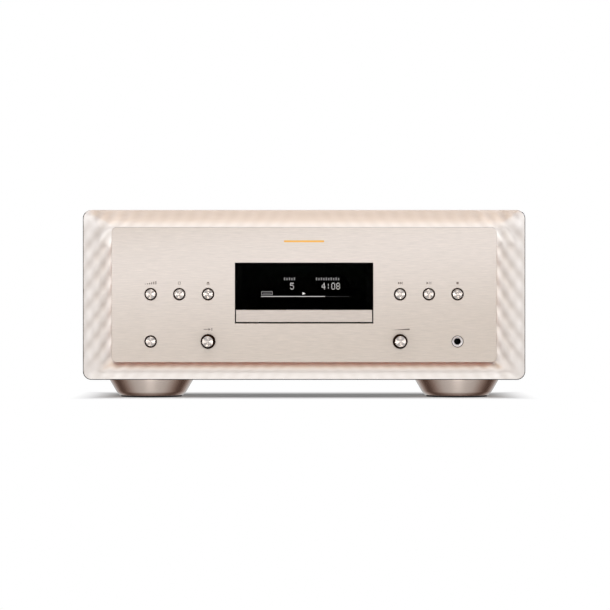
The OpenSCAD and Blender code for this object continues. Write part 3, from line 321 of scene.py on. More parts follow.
dress(mottled("plated_steel", srgb(178, 176, 172), rough=0.38, metal=0.9, scale=400, contrast=0.08),
      "base_plate")
dress(mottled("black_screw", srgb(52, 49, 47), rough=0.35, metal=0.6, contrast=0.2), "casing_screws")


# Feet
# Four feet are turned from solid aluminium as cones with a straight band on top.
# A rubber pad is let into each foot, and a bolt holds it to the base from below.

def put_mesh(name, points, faces, smooth_angle=35):
    """A linked mesh object from arrays of points and faces."""
    mesh = bpy.data.meshes.new(name)
    mesh.from_pydata(points, [], faces)
    return link_mesh(name, mesh, smooth_angle)


def link_mesh(name, mesh, smooth_angle=35):
    """Merges doubles, turns normals outwards, smooths all but sharp edges and links the object."""
    work = bmesh.new()
    work.from_mesh(mesh)
    bmesh.ops.remove_doubles(work, verts=work.verts, dist=0.0005 * mm)
    bmesh.ops.recalc_face_normals(work, faces=work.faces)
    work.to_mesh(mesh)
    work.free()
    mesh.polygons.foreach_set("use_smooth", np.ones(len(mesh.polygons), bool))
    mesh.set_sharp_from_angle(angle=math.radians(smooth_angle))
    piece = bpy.data.objects.new(name, mesh)
    bpy.context.collection.objects.link(piece)
    return piece


def ring_faces(rows, count, closed=False):
    """Quads of a grid whose columns close round, and whose last row joins the first if it is closed; returns
    each quad's row and column too."""
    row, column = np.meshgrid(np.arange(rows if closed else rows - 1), np.arange(count), indexing="ij")
    here, above = row * count, (row + 1) % rows * count
    following = (column + 1) % count
    quads = np.stack([here + column, here + following, above + following, above + column], axis=2)
    return row, column, quads.reshape(-1, 4)


def turned_piece(name, centre, corners, radius, axis="Y", around=144):
    """A turned surface: a profile of radii and distances along the axis, rounded at its corners, goes round
    the axis in equal steps. The map's U runs round the axis and V along the profile, in metres."""
    profile = rounded_profile(corners, radius)
    angle = np.linspace(0, 2 * np.pi, around, endpoint=False)
    across = profile[:, :1] * np.cos(angle)
    up = profile[:, :1] * np.sin(angle)
    along = np.repeat(profile[:, 1:], around, axis=1)
    order = (across, along, up) if axis == "Y" else (across, up, along)
    points = np.stack(order, axis=2).reshape(-1, 3) + np.array(centre, float)
    row, column, faces = ring_faces(len(profile), around)
    mesh = bpy.data.meshes.new(name)
    mesh.from_pydata(points, [], faces)
    length = np.concatenate([[0], np.cumsum(np.hypot(*np.diff(profile, axis=0).T))])
    turn = np.stack([column, column + 1, column + 1, column], axis=2) / around
    travel = np.stack([length[row], length[row], length[row + 1], length[row + 1]], axis=2)
    layer = mesh.uv_layers.new(name="turned")
    layer.data.foreach_set("uv", np.stack([turn, travel], axis=3).astype(np.float32).ravel())
    return link_mesh(name, mesh)


def rounded_profile(corners, radius, steps=4):
    """A profile whose inner corners are rounded: each corner is replaced by points of a curve that starts
    and ends at the radius from it, weighted as a quadratic between its two neighbours."""
    corners = np.array(corners, float)
    most = 0.45
    rows = [corners[:1]]
    for before, corner, after in zip(corners[:-2], corners[1:-1], corners[2:]):
        reach = min(radius, most * np.hypot(*(before - corner)), most * np.hypot(*(after - corner)))
        start = corner + (before - corner) / np.hypot(*(before - corner)) * reach
        end = corner + (after - corner) / np.hypot(*(after - corner)) * reach
        t = np.linspace(0, 1, steps + 1)[:, None]
        rows.append((1 - t) ** 2 * start + 2 * t * (1 - t) * corner + t ** 2 * end)
    rows.append(corners[-1:])
    return np.concatenate(rows)


def turned_metal(name, colour, rough, groove, contrast, stretch):
    """Metal with the fine rings that a lathe leaves: noise along V of the turned map, and highlights that
    stretch across those rings."""
    material, tree, shader = plain_finish(name, colour, rough, metal=1.0)
    quarter_turn, ring_relief = 0.25, 0.004 * mm
    turned_map = add_node(tree, "UVMap")
    turned_map.uv_map = "turned"
    rings = grain(tree, (2.0, groove, 1.0), detail=2.0, noise_rough=0.5, source=turned_map.outputs["UV"])
    vary(tree, shader, rings, shade(colour, 1 - contrast), shade(colour, 1 + contrast))
    tangent = add_node(tree, "Tangent")
    tangent.direction_type = "UV_MAP"
    tangent.uv_map = "turned"
    set_sockets(shader, Tangent=tangent.outputs["Tangent"], Anisotropic=stretch,
                Anisotropic_Rotation=quarter_turn)
    bumps(tree, shader, rings, ring_relief)
    return material


def fit(piece, slot, *finishes, body="chassis", replaces=None):
    """Gives a piece its finishes, the body that it rides on and the CAD node that it replaces; slot is not
    used.
    """
    for coat in finishes:
        piece.data.materials.append(coat)
    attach(piece, body)
    if replaces:
        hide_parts(replaces)


foot_metal = turned_metal("turned_foot", srgb(222, 202, 188), rough=0.26, groove=2600, contrast=0.06,
                          stretch=0.6)
foot_low_r, pad_pocket_r = 35.5 * mm, 31.02 * mm
foot_band, foot_rim, foot_round, pad_room = 2 * mm, 3 * mm, 1.2 * mm, 0.1 * mm
pocket_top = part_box("foot_pads")[1].z + pad_room
for node_name in ("front_left_foot", "front_right_foot", "rear_left_foot", "rear_right_foot"):
    low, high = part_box(node_name)
    foot_r = (high.x - low.x) / 2
    foot_x, foot_y = (low.x + high.x) / 2, (low.y + high.y) / 2
    foot = turned_piece(node_name + "_turned", (foot_x, foot_y, 0), [
        (0, pocket_top), (pad_pocket_r, pocket_top), (pad_pocket_r, low.z),
        (foot_low_r - foot_rim, low.z), (foot_low_r, low.z + foot_rim), (foot_r, high.z - foot_band),
        (foot_r, high.z), (0, high.z)], foot_round, axis="Z")
    fit(foot, "foot_metal", foot_metal, replaces=node_name)
rubber = mottled("pad_rubber", srgb(38, 35, 34), rough=0.8, scale=1500, contrast=0.25, relief=0.03 * mm)
dress(rubber, "foot_pads")
dress(mottled("bright_steel", srgb(186, 186, 184), rough=0.3, metal=1.0, scale=700, contrast=0.06,
              relief=0.004 * mm),
      "foot_bolts", "input_shaft", "level_shaft", "guide_rods")


# Wave panel
# The thick front panel is cast and machined, with a slanting ripple that is strongest beside the plate.
# Painted light and shade lie on the mesh as a tone: shade in the troughs, light beside the plate, and paler
# or darker reflections at the margins. The rim is painted dark as shade on the sides and the foot. A bronze
# spacer between panel and plate glows faintly at its rim as painted light, and the walls of the opening carry
# painted shade.

def outline_steps(along, up, corner):
    """Steps round a rounded rectangle, anticlockwise from the right: for each, a place on the core
    rectangle (-1 to 1 each way) and the direction from there out to the edge."""
    corners = np.array([(1, 1), (-1, 1), (-1, -1), (1, -1)])
    cores, outs = [], []
    for quarter, count in enumerate((along, up, along, up)):
        here, following = corners[quarter], corners[(quarter + 1) % 4]
        angle = (quarter + np.linspace(0, 1, corner + 1)) * np.pi / 2
        t = np.linspace(0, 1, count + 1)[1:-1, None]
        cores += [np.tile(here, (corner + 1, 1)), (1 - t) * here + t * following]
        outs.append(np.stack([np.cos(angle), np.sin(angle)], axis=1))
        outs.append(np.tile(outs[-1][-1], (count - 1, 1)))
    return np.concatenate(cores), np.concatenate(outs)


def outline_rows(steps, width, height, radius):
    """Points of rounded rectangles of several sizes, one row each: the core rectangle's place plus the
    radius in the outward direction."""
    core, out = steps
    half = np.stack([width / 2 - radius, height / 2 - radius], axis=1)
    return core[None] * half[:, None] + out[None] * radius[:, None, None]


def smooth_step(low, high, value):
    """0 below low and 1 above high, with an S curve between."""
    t = np.clip((value - low) / (high - low), 0, 1)
    return t * t * (3 - 2 * t)


panel_low, panel_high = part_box("wave_panel")
spacer_low, spacer_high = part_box("plate_spacer")
plate_low, plate_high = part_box("front_plate")
panel_w, panel_h = panel_high.x - panel_low.x, panel_high.z - panel_low.z
plate_w, plate_h = plate_high.x - plate_low.x, plate_high.z - plate_low.z
panel_z = (panel_low.z + panel_high.z) / 2
panel_r, spacer_r = 8.5 * mm, 4 * mm
edge_r, skin_t = 1.05 * mm, 1.1 * mm
edge_rows, field_rows = 6, 44
steps = outline_steps(along=380, up=130, corner=14)
rim_turn = np.linspace(0, np.pi / 2, edge_rows + 1)
inset = np.concatenate([[0], edge_r * (1 - np.cos(rim_turn))])
rim_depth = np.concatenate([[0], skin_t - edge_r + edge_r * np.sin(rim_turn)])
share = np.linspace(0, 1, field_rows)[1:]
rim_rows = len(inset)


def row_sizes(outer, inner, sides):
    """A size of every row: at the rim the outer size less the inset on so many sides, then even steps to the
    inner size, with the last row twice."""
    field_sizes = (1 - share) * (outer - sides * edge_r) + share * inner
    return np.concatenate([outer - sides * inset, field_sizes, field_sizes[-1:]])


ring = outline_rows(steps, row_sizes(panel_w, spacer_high.x - spacer_low.x, 2),
                    row_sizes(panel_h, spacer_high.z - spacer_low.z, 2), row_sizes(panel_r, spacer_r, 1))
ring_x, ring_z = ring[:, :, 0], ring[:, :, 1]
aside_x, plate_share = np.abs(ring_x), np.abs(ring_z) / plate_h * 2
outward = steps[1]
around = len(outward)
row_share = np.concatenate([np.zeros(rim_rows), share, [1]])[:, None]

ripple_up = 20 * mm
ripple_across, ripple_wide, wide_from = 13.6 * mm, 16 * mm, 206 * mm
ripple_height, ripple_cross, ripple_rim, corner_fade = 0.35 * mm, 0.35, 0.15, 0.5
reach_x = np.array([0, 165, 190, 199, 206, 214, 220]) * mm
strength_at = [0.16, 0.16, 0.6, 0.66, 0.64, 0.74, 0.62]
margin_from, margin_full = 0.94, 1.1
turns = np.interp(aside_x, [0, wide_from, panel_w / 2],
                  [0.5 + wide_from / ripple_across, 0.5, 0.5 - (panel_w / 2 - wide_from) / ripple_wide])
rise = ring_z / ripple_up
egg_crate = np.cos(2 * np.pi * (rise - turns)) + ripple_cross * np.cos(2 * np.pi * (rise + turns))
handed = -np.tanh(ring_x / ripple_across)
past_plate = smooth_step(margin_from, margin_full, plate_share)
in_corner = past_plate * smooth_step(reach_x[1], reach_x[2], aside_x)
strength = np.interp(aside_x, reach_x, strength_at) * (1 - corner_fade * in_corner)
wave = handed * egg_crate / (1 + ripple_cross) * strength

pillow, pillow_share = 3.0 * mm, 0.75
lean, lean_share, lean_end = 1.0 * mm, 0.62, 1.3
pillow_only, lean_only = -0.8, -0.55
swell = pillow * np.sin(np.pi / 2 * np.minimum(share / pillow_share, 1))[:, None]
lean_in = lean * np.sin(np.pi * np.minimum(share / lean_share, lean_end))[:, None]
low_side = smooth_step(pillow_only, lean_only, -ring_z[rim_rows:-1] / (panel_h / 2))
field = skin_t + (1 - low_side) * swell + low_side * lean_in
depth = np.concatenate([np.repeat(rim_depth[:, None], around, axis=1), field, np.zeros((1, around))])
depth = depth + ripple_height * wave * smooth_step(0, ripple_rim, row_share)
depth[-1] = 0
points = np.stack([ring_x, panel_face_y - depth, ring_z + panel_z], axis=2).reshape(-1, 3)
wave_skin = put_mesh("wave_skin", points, ring_faces(*ring_x.shape, closed=True)[2], smooth_angle=60)

# The trough and crest colours are the ends of a painted shade and painted light tone.
panel_colour, painted_shade_colour, painted_light_colour = srgb(224, 212, 203), srgb(166, 152, 140), srgb(232, 224, 217)
wave_metal, tree, shader = plain_finish("wave_metal", panel_colour, rough=0.28, metal=0.55)
painted_light_and_shade = add_node(tree, "Attribute")
painted_light_and_shade.attribute_name = "painted_light_and_shade"
vary(tree, shader, painted_light_and_shade.outputs["Fac"], painted_shade_colour, painted_light_colour)
bumps(tree, shader, grain(tree, 3200, detail=2.0), height=0.006 * mm)
# Painted shade: the rim's fillet is dark on the sides and the foot, and keeps the panel's finish along the
# lit top.
shaded_rim = mottled("shaded_rim", srgb(30, 26, 24), rough=0.5, metal=0.2, contrast=0.08, relief=0.004 * mm)
lit_from = 0.75
in_shaded_rim = np.zeros(ring_x.shape, np.int32)
in_shaded_rim[:edge_rows] = outward[:, 1] < lit_from
wave_skin.data.polygons.foreach_set("material_index", in_shaded_rim.ravel())
# The tone is painted light and shade: darker in the ripple's troughs and where the ripple is weak, paler
# beside
# the plate and in the corners, paler along the top margin and darker along the foot.
shade_tone_along_x, trough_shade_tone = [0.61, 0.61, 0.53, 0.38, 0.42, 0.53, 0.53], 0.26
beside_x, beside_light_tone = np.array([185, 191, 198]) * mm, [0, 0.31, 0]
margin_light_and_shade, corner_light_tone = (0.04, -0.08), (0.16, 0.13)
painted_light_beside_plate = np.interp(aside_x, beside_x, beside_light_tone) * (1 - smooth_step(0.8, 1.0, plate_share))
painted_tone = np.interp(aside_x, reach_x, shade_tone_along_x) + trough_shade_tone * wave + painted_light_beside_plate
painted_tone = painted_tone + np.where(ring_z > 0, *margin_light_and_shade) * past_plate + np.where(ring_z > 0, *corner_light_tone) * in_corner
wave_skin.data.attributes.new("painted_light_and_shade", "FLOAT", "POINT").data.foreach_set("value", painted_tone.ravel())
fit(wave_skin, "wave_metal", wave_metal, shaded_rim)
window_low, window_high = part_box("display_window")
door_low, door_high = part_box("tray_door")
door_gap, slot_margin, slot_blur = 1.4 * mm, 2 * mm, 0.1 * mm
opening_low_z = door_low.z - door_gap
# The slot colour is painted shade for the walls of the opening and the gaps round the door.
slot_shade_colour, bronze = srgb(15, 9, 6), srgb(190, 100, 36)


def from_plane(tree, coordinate, centre):
    """How far a coordinate lies from a plane, on either side."""
    return maths(tree, "ABSOLUTE", maths(tree, "SUBTRACT", coordinate, centre))


def paint_slot_shade(material):
    """Painted shade on the walls of the opening, so the gaps round the door read dark: the colour changes
    inside a rectangle in X and Z that reaches a little past the opening's edges."""
    tree = material.node_tree
    shader = tree.nodes["Principled BSDF"]
    bare = shader.inputs["Base Color"].links[0].from_socket
    place = object_place(tree)
    middle_z = (opening_low_z + window_high.z) / 2
    inside = [ramp_node(tree, from_plane(tree, place[axis], centre), [(half, 1.0), (half + slot_blur, 0.0)])
              for axis, centre, half in (("X", 0.0, window_high.x + slot_margin),
                                         ("Z", middle_z, window_high.z - middle_z + slot_margin))]
    set_sockets(shader, Base_Color=between(tree, maths(tree, "MULTIPLY", *inside), bare, slot_shade_colour))


wave_back = mottled("wave_back", panel_colour, rough=0.4, metal=0.5, contrast=0.03, relief=0.005 * mm)
paint_slot_shade(wave_back)
dress(wave_back, "wave_panel")
spacer_bronze = mottled("spacer_bronze", bronze, rough=0.45, metal=0.8, scale=800, contrast=0.15)
tree = spacer_bronze.node_tree
place = object_place(tree)
spacer_z = (spacer_low.z + spacer_high.z) / 2
# The rim's glow is painted light: it warms and lightens the shaded panel just beside and below the plate.
glow_from, glow_full, glow_sides, glow_level = 4 * mm, 2 * mm, 2.2, 1.65
at_rim = [ramp_node(tree, from_plane(tree, place[axis], centre),
                    [(half - glow_from, 0.0), (half - glow_full, level)])
          for axis, centre, half, level in (("X", 0.0, spacer_high.x, glow_sides),
                                            ("Z", spacer_z, spacer_high.z - spacer_z, glow_level))]
glow_colour = (1.0, 0.6, 0.28, 1)
set_sockets(tree.nodes["Principled BSDF"], Emission_Color=glow_colour,
            Emission_Strength=maths(tree, "MAXIMUM", *at_rim))
paint_slot_shade(spacer_bronze)
dress(spacer_bronze, "plate_spacer")


# Front plate and tray door
# A slab of brushed aluminium floats in front of the wave panel, with its edges broken by a fine chamfer.
# The tray's front strip is cut from the same stock, with the same brushing.

def brushed_metal(name, colour, contrast):
    """Satin metal with long fine scratches: noise drawn out along X."""
    return mottled(name, colour, rough=0.42, metal=0.5, scale=(70, 1200, 1250), contrast=contrast,
                   relief=0.006 * mm, detail=4.0, noise_rough=0.7)


def flat_plate(name, outlines, front_y, back_y, chamfer):
    """A plate cut along closed outlines in X and Z, the first outside and the rest as holes, drawn out
    from front_y to back_y with its edges chamfered."""
    curve = bpy.data.curves.new(name, "CURVE")
    curve.dimensions = "2D"
    curve.fill_mode = "BOTH"
    curve.extrude = (back_y - front_y) / 2 - chamfer
    curve.bevel_depth = chamfer
    curve.bevel_resolution = 1
    curve.offset = -chamfer
    for outline in outlines:
        spline = curve.splines.new("POLY")
        spline.points.add(len(outline) - 1)
        spline.points.foreach_set("co", np.pad(outline, ((0, 0), (0, 2))).ravel())
        spline.use_cyclic_u = True
    drawn = bpy.data.objects.new(name + "_drawing", curve)
    bpy.context.collection.objects.link(drawn)
    mesh = bpy.data.meshes.new_from_object(drawn.evaluated_get(bpy.context.evaluated_depsgraph_get()))
    bpy.data.objects.remove(drawn)
    mesh.transform(Matrix.Translation((0, (front_y + back_y) / 2, 0)) @ Matrix.Rotation(math.pi / 2, 4, "X"))
    mesh.name = name
    return link_mesh(name, mesh, smooth_angle=12)


def rectangle(low_x, low_z, high_x, high_z):
    """The four corners of a rectangle."""
    return np.array([(low_x, low_z), (high_x, low_z), (high_x, high_z), (low_x, high_z)])


def circle(x, z, r, count=96):
    """Points round a circle."""
    angle = np.linspace(0, 2 * np.pi, count, endpoint=False)
    return np.stack([x + r * np.cos(angle), z + r * np.sin(angle)], axis=1)


def rounded_outline(width, height, radius, corner):
    """One rounded rectangle round the origin, with so many steps in each corner."""
    return outline_rows(outline_steps(2, 2, corner), *(np.array([v]) for v in (width, height, radius)))[0]


def face_values(piece, kind):
    """The normal or the center of every face of a piece, one row each."""
    values = np.empty(len(piece.data.polygons) * 3, np.float32)
    piece.data.polygons.foreach_get(kind, values)
    return values.reshape(-1, 3)


buttons = ("power", "dimmer", "layer", "eject", "skip", "play", "stop")
knobs = ("input", "level")


def middle(node_name):
    """The middle of a CAD node's box in X and Z."""
    low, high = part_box(node_name)
    return (low.x + high.x) / 2, (low.z + high.z) / 2


plate_r, plate_chamfer, door_chamfer = 5 * mm, 0.4 * mm, 0.18 * mm
plate_outline = rounded_outline(plate_w, plate_h, plate_r, corner=12) + (0, (plate_low.z + plate_high.z) / 2)
button_ring_r, knob_ring_r, phones_ring_r = 6.07 * mm, 7.07 * mm, 5.77 * mm
holes = [rectangle(window_low.x, opening_low_z, window_high.x, window_high.z)]
holes += [circle(*middle(b + "_button"), button_ring_r) for b in buttons]
holes += [circle(*middle(k + "_knob"), knob_ring_r) for k in knobs]
holes += [circle(*middle("phones_ring"), phones_ring_r)]
plate = flat_plate("front_plate_brushed", [plate_outline] + holes, plate_low.y, plate_high.y, plate_chamfer)
brushed_plate = brushed_metal("brushed_plate", srgb(213, 200, 187), contrast=0.22)
# The top chamfer takes a copy of the finish as a painted highlight; the bottom wall and the back take bronze
# as
# painted shade, which the panel below mirrors in the plate's shadow.
top_edge_highlight = mottled("top_edge_highlight", srgb(182, 174, 166), rough=0.3, metal=0.4, contrast=0.02,
                      relief=0.002 * mm)
opening_shade = mottled("opening_shade", slot_shade_colour, rough=0.8, contrast=0.2, specular=0.0)
shaded_bronze_wall = mottled("shaded_bronze_wall", bronze, rough=0.45, metal=0.6, scale=800, contrast=0.12,
                      relief=0.008 * mm)
out_y, out_z = face_values(plate, "normal")[:, 1:].T
place_x, place_z = face_values(plate, "center")[:, ::2].T
edge_band, slack = 1 * mm, 0.1 * mm
slope, half_down, straight_back = 0.3, -0.5, 0.9
top_edge = (place_z > plate_high.z - edge_band) & (out_z > slope)
on_wall = ((place_z < plate_low.z + edge_band) & (out_z < half_down)) | (out_y > straight_back)
in_opening = (np.abs(out_y) < slope) & (np.abs(place_x) < window_high.x + slack)
in_opening &= (place_z > opening_low_z - slack) & (place_z < window_high.z + slack)
finish_index = top_edge + 2 * in_opening + 3 * (on_wall & ~in_opening)
plate.data.polygons.foreach_set("material_index", finish_index.astype(np.int32))
fit(plate, "brushed_metal", brushed_plate, top_edge_highlight, opening_shade, shaded_bronze_wall, replaces="front_plate")
light_slab(plate)

door = flat_plate("tray_door_brushed", [rectangle(door_low.x, door_low.z, door_high.x, door_high.z)],
                  door_low.y, door_high.y, door_chamfer)
brushed_door = brushed_metal("brushed_door", srgb(206, 193, 181), contrast=0.26)
fit(door, "brushed_metal", brushed_door, body="tray", replaces="tray_door")
light_slab(door)


# Inlay
# A slim bar of polished gold plate is let into the slab above the display.
# It is pressed into a shallow pocket and stands a little proud of the face.

inlay_w, inlay_h, inlay_up = 40 * mm, 1.9 * mm, 52.9 * mm
inlay_r, inlay_proud, inlay_deep, inlay_chamfer = inlay_h * 0.45, 0.15 * mm, 0.3 * mm, 0.1 * mm
inlay_outline = rounded_outline(inlay_w, inlay_h, inlay_r, corner=8) + (0, panel_z + inlay_up)
inlay = flat_plate("gold_inlay", [inlay_outline], plate_low.y - inlay_proud, plate_low.y + inlay_deep,
                   inlay_chamfer)
inlay_gold = mottled("inlay_gold", srgb(222, 168, 84), rough=0.3, metal=0.8, contrast=0.05,
                     relief=0.003 * mm)
fit(inlay, "contact_gold", inlay_gold)
light_slab(inlay)


# Display
# A smoked acrylic window closes the top of the opening, and a dark dot display lies behind it.
# The lit marks are pale numbers, a play mark, short bars and a progress line.

smoked, tree, shader = plain_finish("smoked_window", (0.35, 0.35, 0.36, 1), rough=0.04, specular=0.06)
set_sockets(shader, Transmission_Weight=1.0, IOR=1.06)
dress(smoked, "display_window")
unlit = (0.0012, 0.0012, 0.0014, 1)
display_black, tree, shader = plain_finish("display_black", unlit, rough=0.7, specular=0.05)
vary(tree, shader, grain(tree, 2000), (0.001, 0.001, 0.0012, 1), (0.0016, 0.0016, 0.0018, 1))
dress(display_black, "display_module")
module_low, module_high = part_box("display_module")
border_gap, border_t, border_chamfer = 0.1 * mm, 0.4 * mm, 0.02 * mm
border = flat_plate("display_border", [
    rectangle(window_low.x + border_gap, window_low.z + border_gap,
              window_high.x - border_gap, window_high.z - border_gap),
    rectangle(module_low.x, module_low.z, module_high.x, module_high.z)],
    window_high.y, window_high.y + border_t, border_chamfer)
fit(border, "window_dark", display_black)
lit_y = module_low.y


def lit_finish(name, strength):
    """A glowing phosphor whose strength varies a little from dot to dot."""
    material, tree, shader = plain_finish(name, (0.02, 0.02, 0.02, 1), rough=0.6)
    set_sockets(shader, Emission_Color=(1.0, 0.97, 0.95, 1))
    flicker = 0.2
    glow = add_node(tree, "MapRange", Value=grain(tree, 1600, detail=1.0), To_Min=strength * (1 - flicker),
                    To_Max=strength * (1 + flicker))
    set_sockets(shader, Emission_Strength=glow.outputs["Result"])
    return material


lit, faint, dim = lit_finish("lit_mark", 1.6), lit_finish("faint_mark", 0.42), lit_finish("dim_mark", 0.06)
metres_per_pixel = (camera_distance + plate_low.y - panel_face_y) / (pixels_per_metre * camera_distance)


def photo_x(pixel):
    """The place in X on the front plate that the photograph shows at this column of pixels."""
    return camera_x + (pixel - frame_pixels / 2) * metres_per_pixel


def photo_z(pixel):
    """The height on the front plate that the photograph shows at this row of pixels."""
    return camera_z - (pixel - frame_pixels / 2) * metres_per_pixel


def flat_mark(name, outlines, face_y, thickness):
    """A flat printed or lit mark in X and Z, standing on a face."""
    chamfer_share = 0.2
    return flat_plate(name, outlines, face_y - thickness, face_y, thickness * chamfer_share)


def bar(left, top, right, foot):
    """A rectangle given by its edges in the photograph, in pixels."""
    return rectangle(photo_x(left), photo_z(foot), photo_x(right), photo_z(top))


dot_rows = {
    "0": "01110 10001 10001 10001 10001 10001 01110",
    "4": "00010 00110 01010 10010 11111 00010 00010",
    "5": "11111 10000 11110 00001 00001 10001 01110",
    "8": "01110 10001 10001 01110 10001 10001 01110",
    ":": "00000 00100 00100 00000 00100 00100 00000",
}
digit_top_px, digit_low_px, digit_foot_px, number_px, time_px = 282.6, 289.5, 289.6, 290.1, 321.7
dot_pitch, dot_share, character_pitch, mark_t = 0.74 * mm, 0.7, 4.8 * mm, 0.05 * mm
row_pitch = (photo_z(digit_top_px) - photo_z(digit_low_px)) / 7


def dot_numbers(name, text, left, foot):
    """Numbers made of small raised blocks, five across and seven up: a corner pattern of one block is
    added to the place of every lit dot."""
    lit_dots = [np.argwhere(np.array([list(row) for row in dot_rows[c].split()]) == "1") for c in text]
    places = np.concatenate([np.stack([left + i * character_pitch + (d[:, 1] + 0.5) * dot_pitch,
                                       foot + (6.5 - d[:, 0]) * row_pitch], axis=1)
                             for i, d in enumerate(lit_dots)])
    corner = np.array([(x, y, z) for y in (0, -1) for x, z in ((-1, -1), (1, -1), (1, 1), (-1, 1))], float)
    corner *= (dot_pitch * dot_share / 2, mark_t, row_pitch * dot_share / 2)
    centre = np.stack([places[:, 0], np.full(len(places), lit_y), places[:, 1]], axis=1)
    block = np.array([(0, 1, 2, 3), (7, 6, 5, 4), (0, 4, 5, 1), (1, 5, 6, 2), (2, 6, 7, 3), (3, 7, 4, 0)])
    faces = (block[None] + 8 * np.arange(len(places))[:, None, None]).reshape(-1, 4)
    return put_mesh(name, (centre[:, None] + corner[None]).reshape(-1, 3), faces)


block_step_px, block_w_px, block_top_px, block_drop_px, block_foot_px = 2.45, 1.1, 277.4, 0.5, 280.2


def small_blocks(left, count):
    """A row of upright blocks in equal steps from a column of the photograph, by turns taller and lower."""
    lefts = [left + block_step_px * i for i in range(count)]
    return [bar(edge, block_top_px + block_drop_px * (i % 2), edge + block_w_px, block_foot_px)
            for i, edge in enumerate(lefts)]


number_row_px, time_row_px = 284, 316
line_px, line_rest_px = (261, 296.2, 325, 296.65), (325.4, 296.3, 349, 296.6)
box_px, box_hole_px = (261.2, 291.3, 272.5, 295.1), (261.8, 291.9, 271.9, 294.5)
box_fill_px = (263, 292.9, 270.7, 293.4)
play_px = [(302.5, 292.1), (302.5, 294.9), (305.4, 293.5)]
play_outline = np.array([(photo_x(column), photo_z(row)) for column, row in play_px])
for name, number, left in (("lit_number", "5", number_px), ("lit_time", "4:08", time_px)):
    fit(dot_numbers(name, number, photo_x(left), photo_z(digit_foot_px)), "window_dark", lit)
for name, finish, outlines in (
        ("lit_line", lit, [bar(*line_px)]),
        ("lit_play", lit, [play_outline]),
        ("lit_line_rest", dim, [bar(*line_rest_px)]),
        ("lit_number_row", faint, small_blocks(number_row_px, 5)),
        ("lit_time_row", faint, small_blocks(time_row_px, 10)),
        ("lit_box", faint, [bar(*box_px), bar(*box_hole_px)]),
        ("lit_box_fill", faint, [bar(*box_fill_px)])):
    fit(flat_mark(name, outlines, lit_y, mark_t), "window_dark", finish)


# Buttons
# Seven aluminium buttons with spun faces slide in dark rings that are pressed into the plate.
# A flange behind the ring keeps each button in, and its stem reaches the switch.

spun = turned_metal("spun_face", srgb(158, 150, 145), rough=0.36, groove=5200, contrast=0.1, stretch=0.92)
button_r, button_chamfer, spun_round = 4.85 * mm, 0.45 * mm, 0.12 * mm
button_dish, button_slope, slope_share = 0.25 * mm, 0.12 * mm, 0.55
flange_r, flange_t, flange_depth, stem_r = 5.75 * mm, 1.0 * mm, 6.5 * mm, 2.0 * mm
for button in buttons:
    node_name = button + "_button"
    low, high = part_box(node_name)
    x, z = middle(node_name)
    cap = turned_piece(node_name + "_spun", (x, 0, z), [
        (0, low.y + button_dish), (button_r * slope_share, low.y + button_slope),
        (button_r - button_chamfer, low.y), (button_r, low.y + button_chamfer),
        (button_r, low.y + flange_depth), (flange_r, low.y + flange_depth),
        (flange_r, low.y + flange_depth + flange_t), (stem_r, low.y + flange_depth + flange_t),
        (stem_r, high.y), (0, high.y)], spun_round, around=96)
    spun_pieces.objects.link(cap)
    fit(cap, "spun_metal", spun, body=node_name, replaces=node_name)
ring_dark = mottled("dark_ring", srgb(28, 14, 6), rough=0.7, scale=1800, contrast=0.12, relief=0.004 * mm,
                    specular=0.03)
dress(ring_dark, "button_rings", "knob_rings")


# Knobs
# Two aluminium knobs with spun faces stand out of dark rings, on steel shafts.
# The input knob turns without end, and the level knob turns through its range.

knob_r, knob_chamfer, knob_face_r = 5.85 * mm, 0.45 * mm, 5.3 * mm
knob_dish, knob_slope, shaft_bore_r, shaft_bore_d = 0.3 * mm, 0.14 * mm, 3.02 * mm, 9 * mm


def dark_beyond(piece, x, z, r):
    """Gives the second finish to the faces further than r from the axis at x and z."""
    from_axis = np.hypot(*(face_values(piece, "center")[:, ::2] - (x, z)).T)
    piece.data.polygons.foreach_set("material_index", (from_axis > r).astype(np.int32))


for knob in knobs:
    node_name = knob + "_knob"
    low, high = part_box(node_name)
    x, z = middle(node_name)
    grip = turned_piece(node_name + "_spun", (x, 0, z), [
        (0, low.y + knob_dish), (knob_r * slope_share, low.y + knob_slope),
        (knob_r - knob_chamfer, low.y), (knob_r, low.y + knob_chamfer), (knob_r, high.y),
        (shaft_bore_r, high.y), (shaft_bore_r, high.y - shaft_bore_d),
        (0, high.y - shaft_bore_d)], spun_round, around=120)
    # Painted shade: the knob's chamfer and side take the dark ring finish, as they turn from the light.
    dark_beyond(grip, x, z, knob_face_r)
    spun_pieces.objects.link(grip)
    fit(grip, "spun_metal", spun, ring_dark, body=node_name, replaces=node_name)


# Headphone socket
# A dished ring of bright metal is pressed into the slab round the jack's bore, with a groove outside it that
# carries painted shade.
# The jack behind it is black plastic, like the bodies of the two rotary controls.

low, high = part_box("phones_ring")
x, z = middle("phones_ring")
ring_r, bore_r, dish_round = (high.x - low.x) / 2, 3.25 * mm, 0.08 * mm
groove_r = ring_r - 0.5 * mm
bore_edge_d, dish_d, lip_d, lip_drop, groove_d = 2.0 * mm, 1.7 * mm, 0.1 * mm, 0.2 * mm, 1.0 * mm
bore_flare, rim_w, lip_w, groove_slack = 0.15 * mm, 0.35 * mm, 0.1 * mm, 0.02 * mm
dish = turned_piece("phones_ring_dished", (x, 0, z), [
    (bore_r, high.y), (bore_r, low.y + bore_edge_d), (bore_r + bore_flare, low.y + dish_d),
    (groove_r - rim_w, low.y + lip_d), (groove_r - lip_w, low.y), (groove_r, low.y + lip_drop),
    (groove_r, low.y + groove_d), (ring_r, low.y + groove_d), (ring_r, high.y),
    (bore_r, high.y)], dish_round, around=120)
bright_ring = mottled("bright_ring", srgb(236, 229, 224), rough=0.34, metal=0.55, scale=1500, contrast=0.03,
                      relief=0.003 * mm)
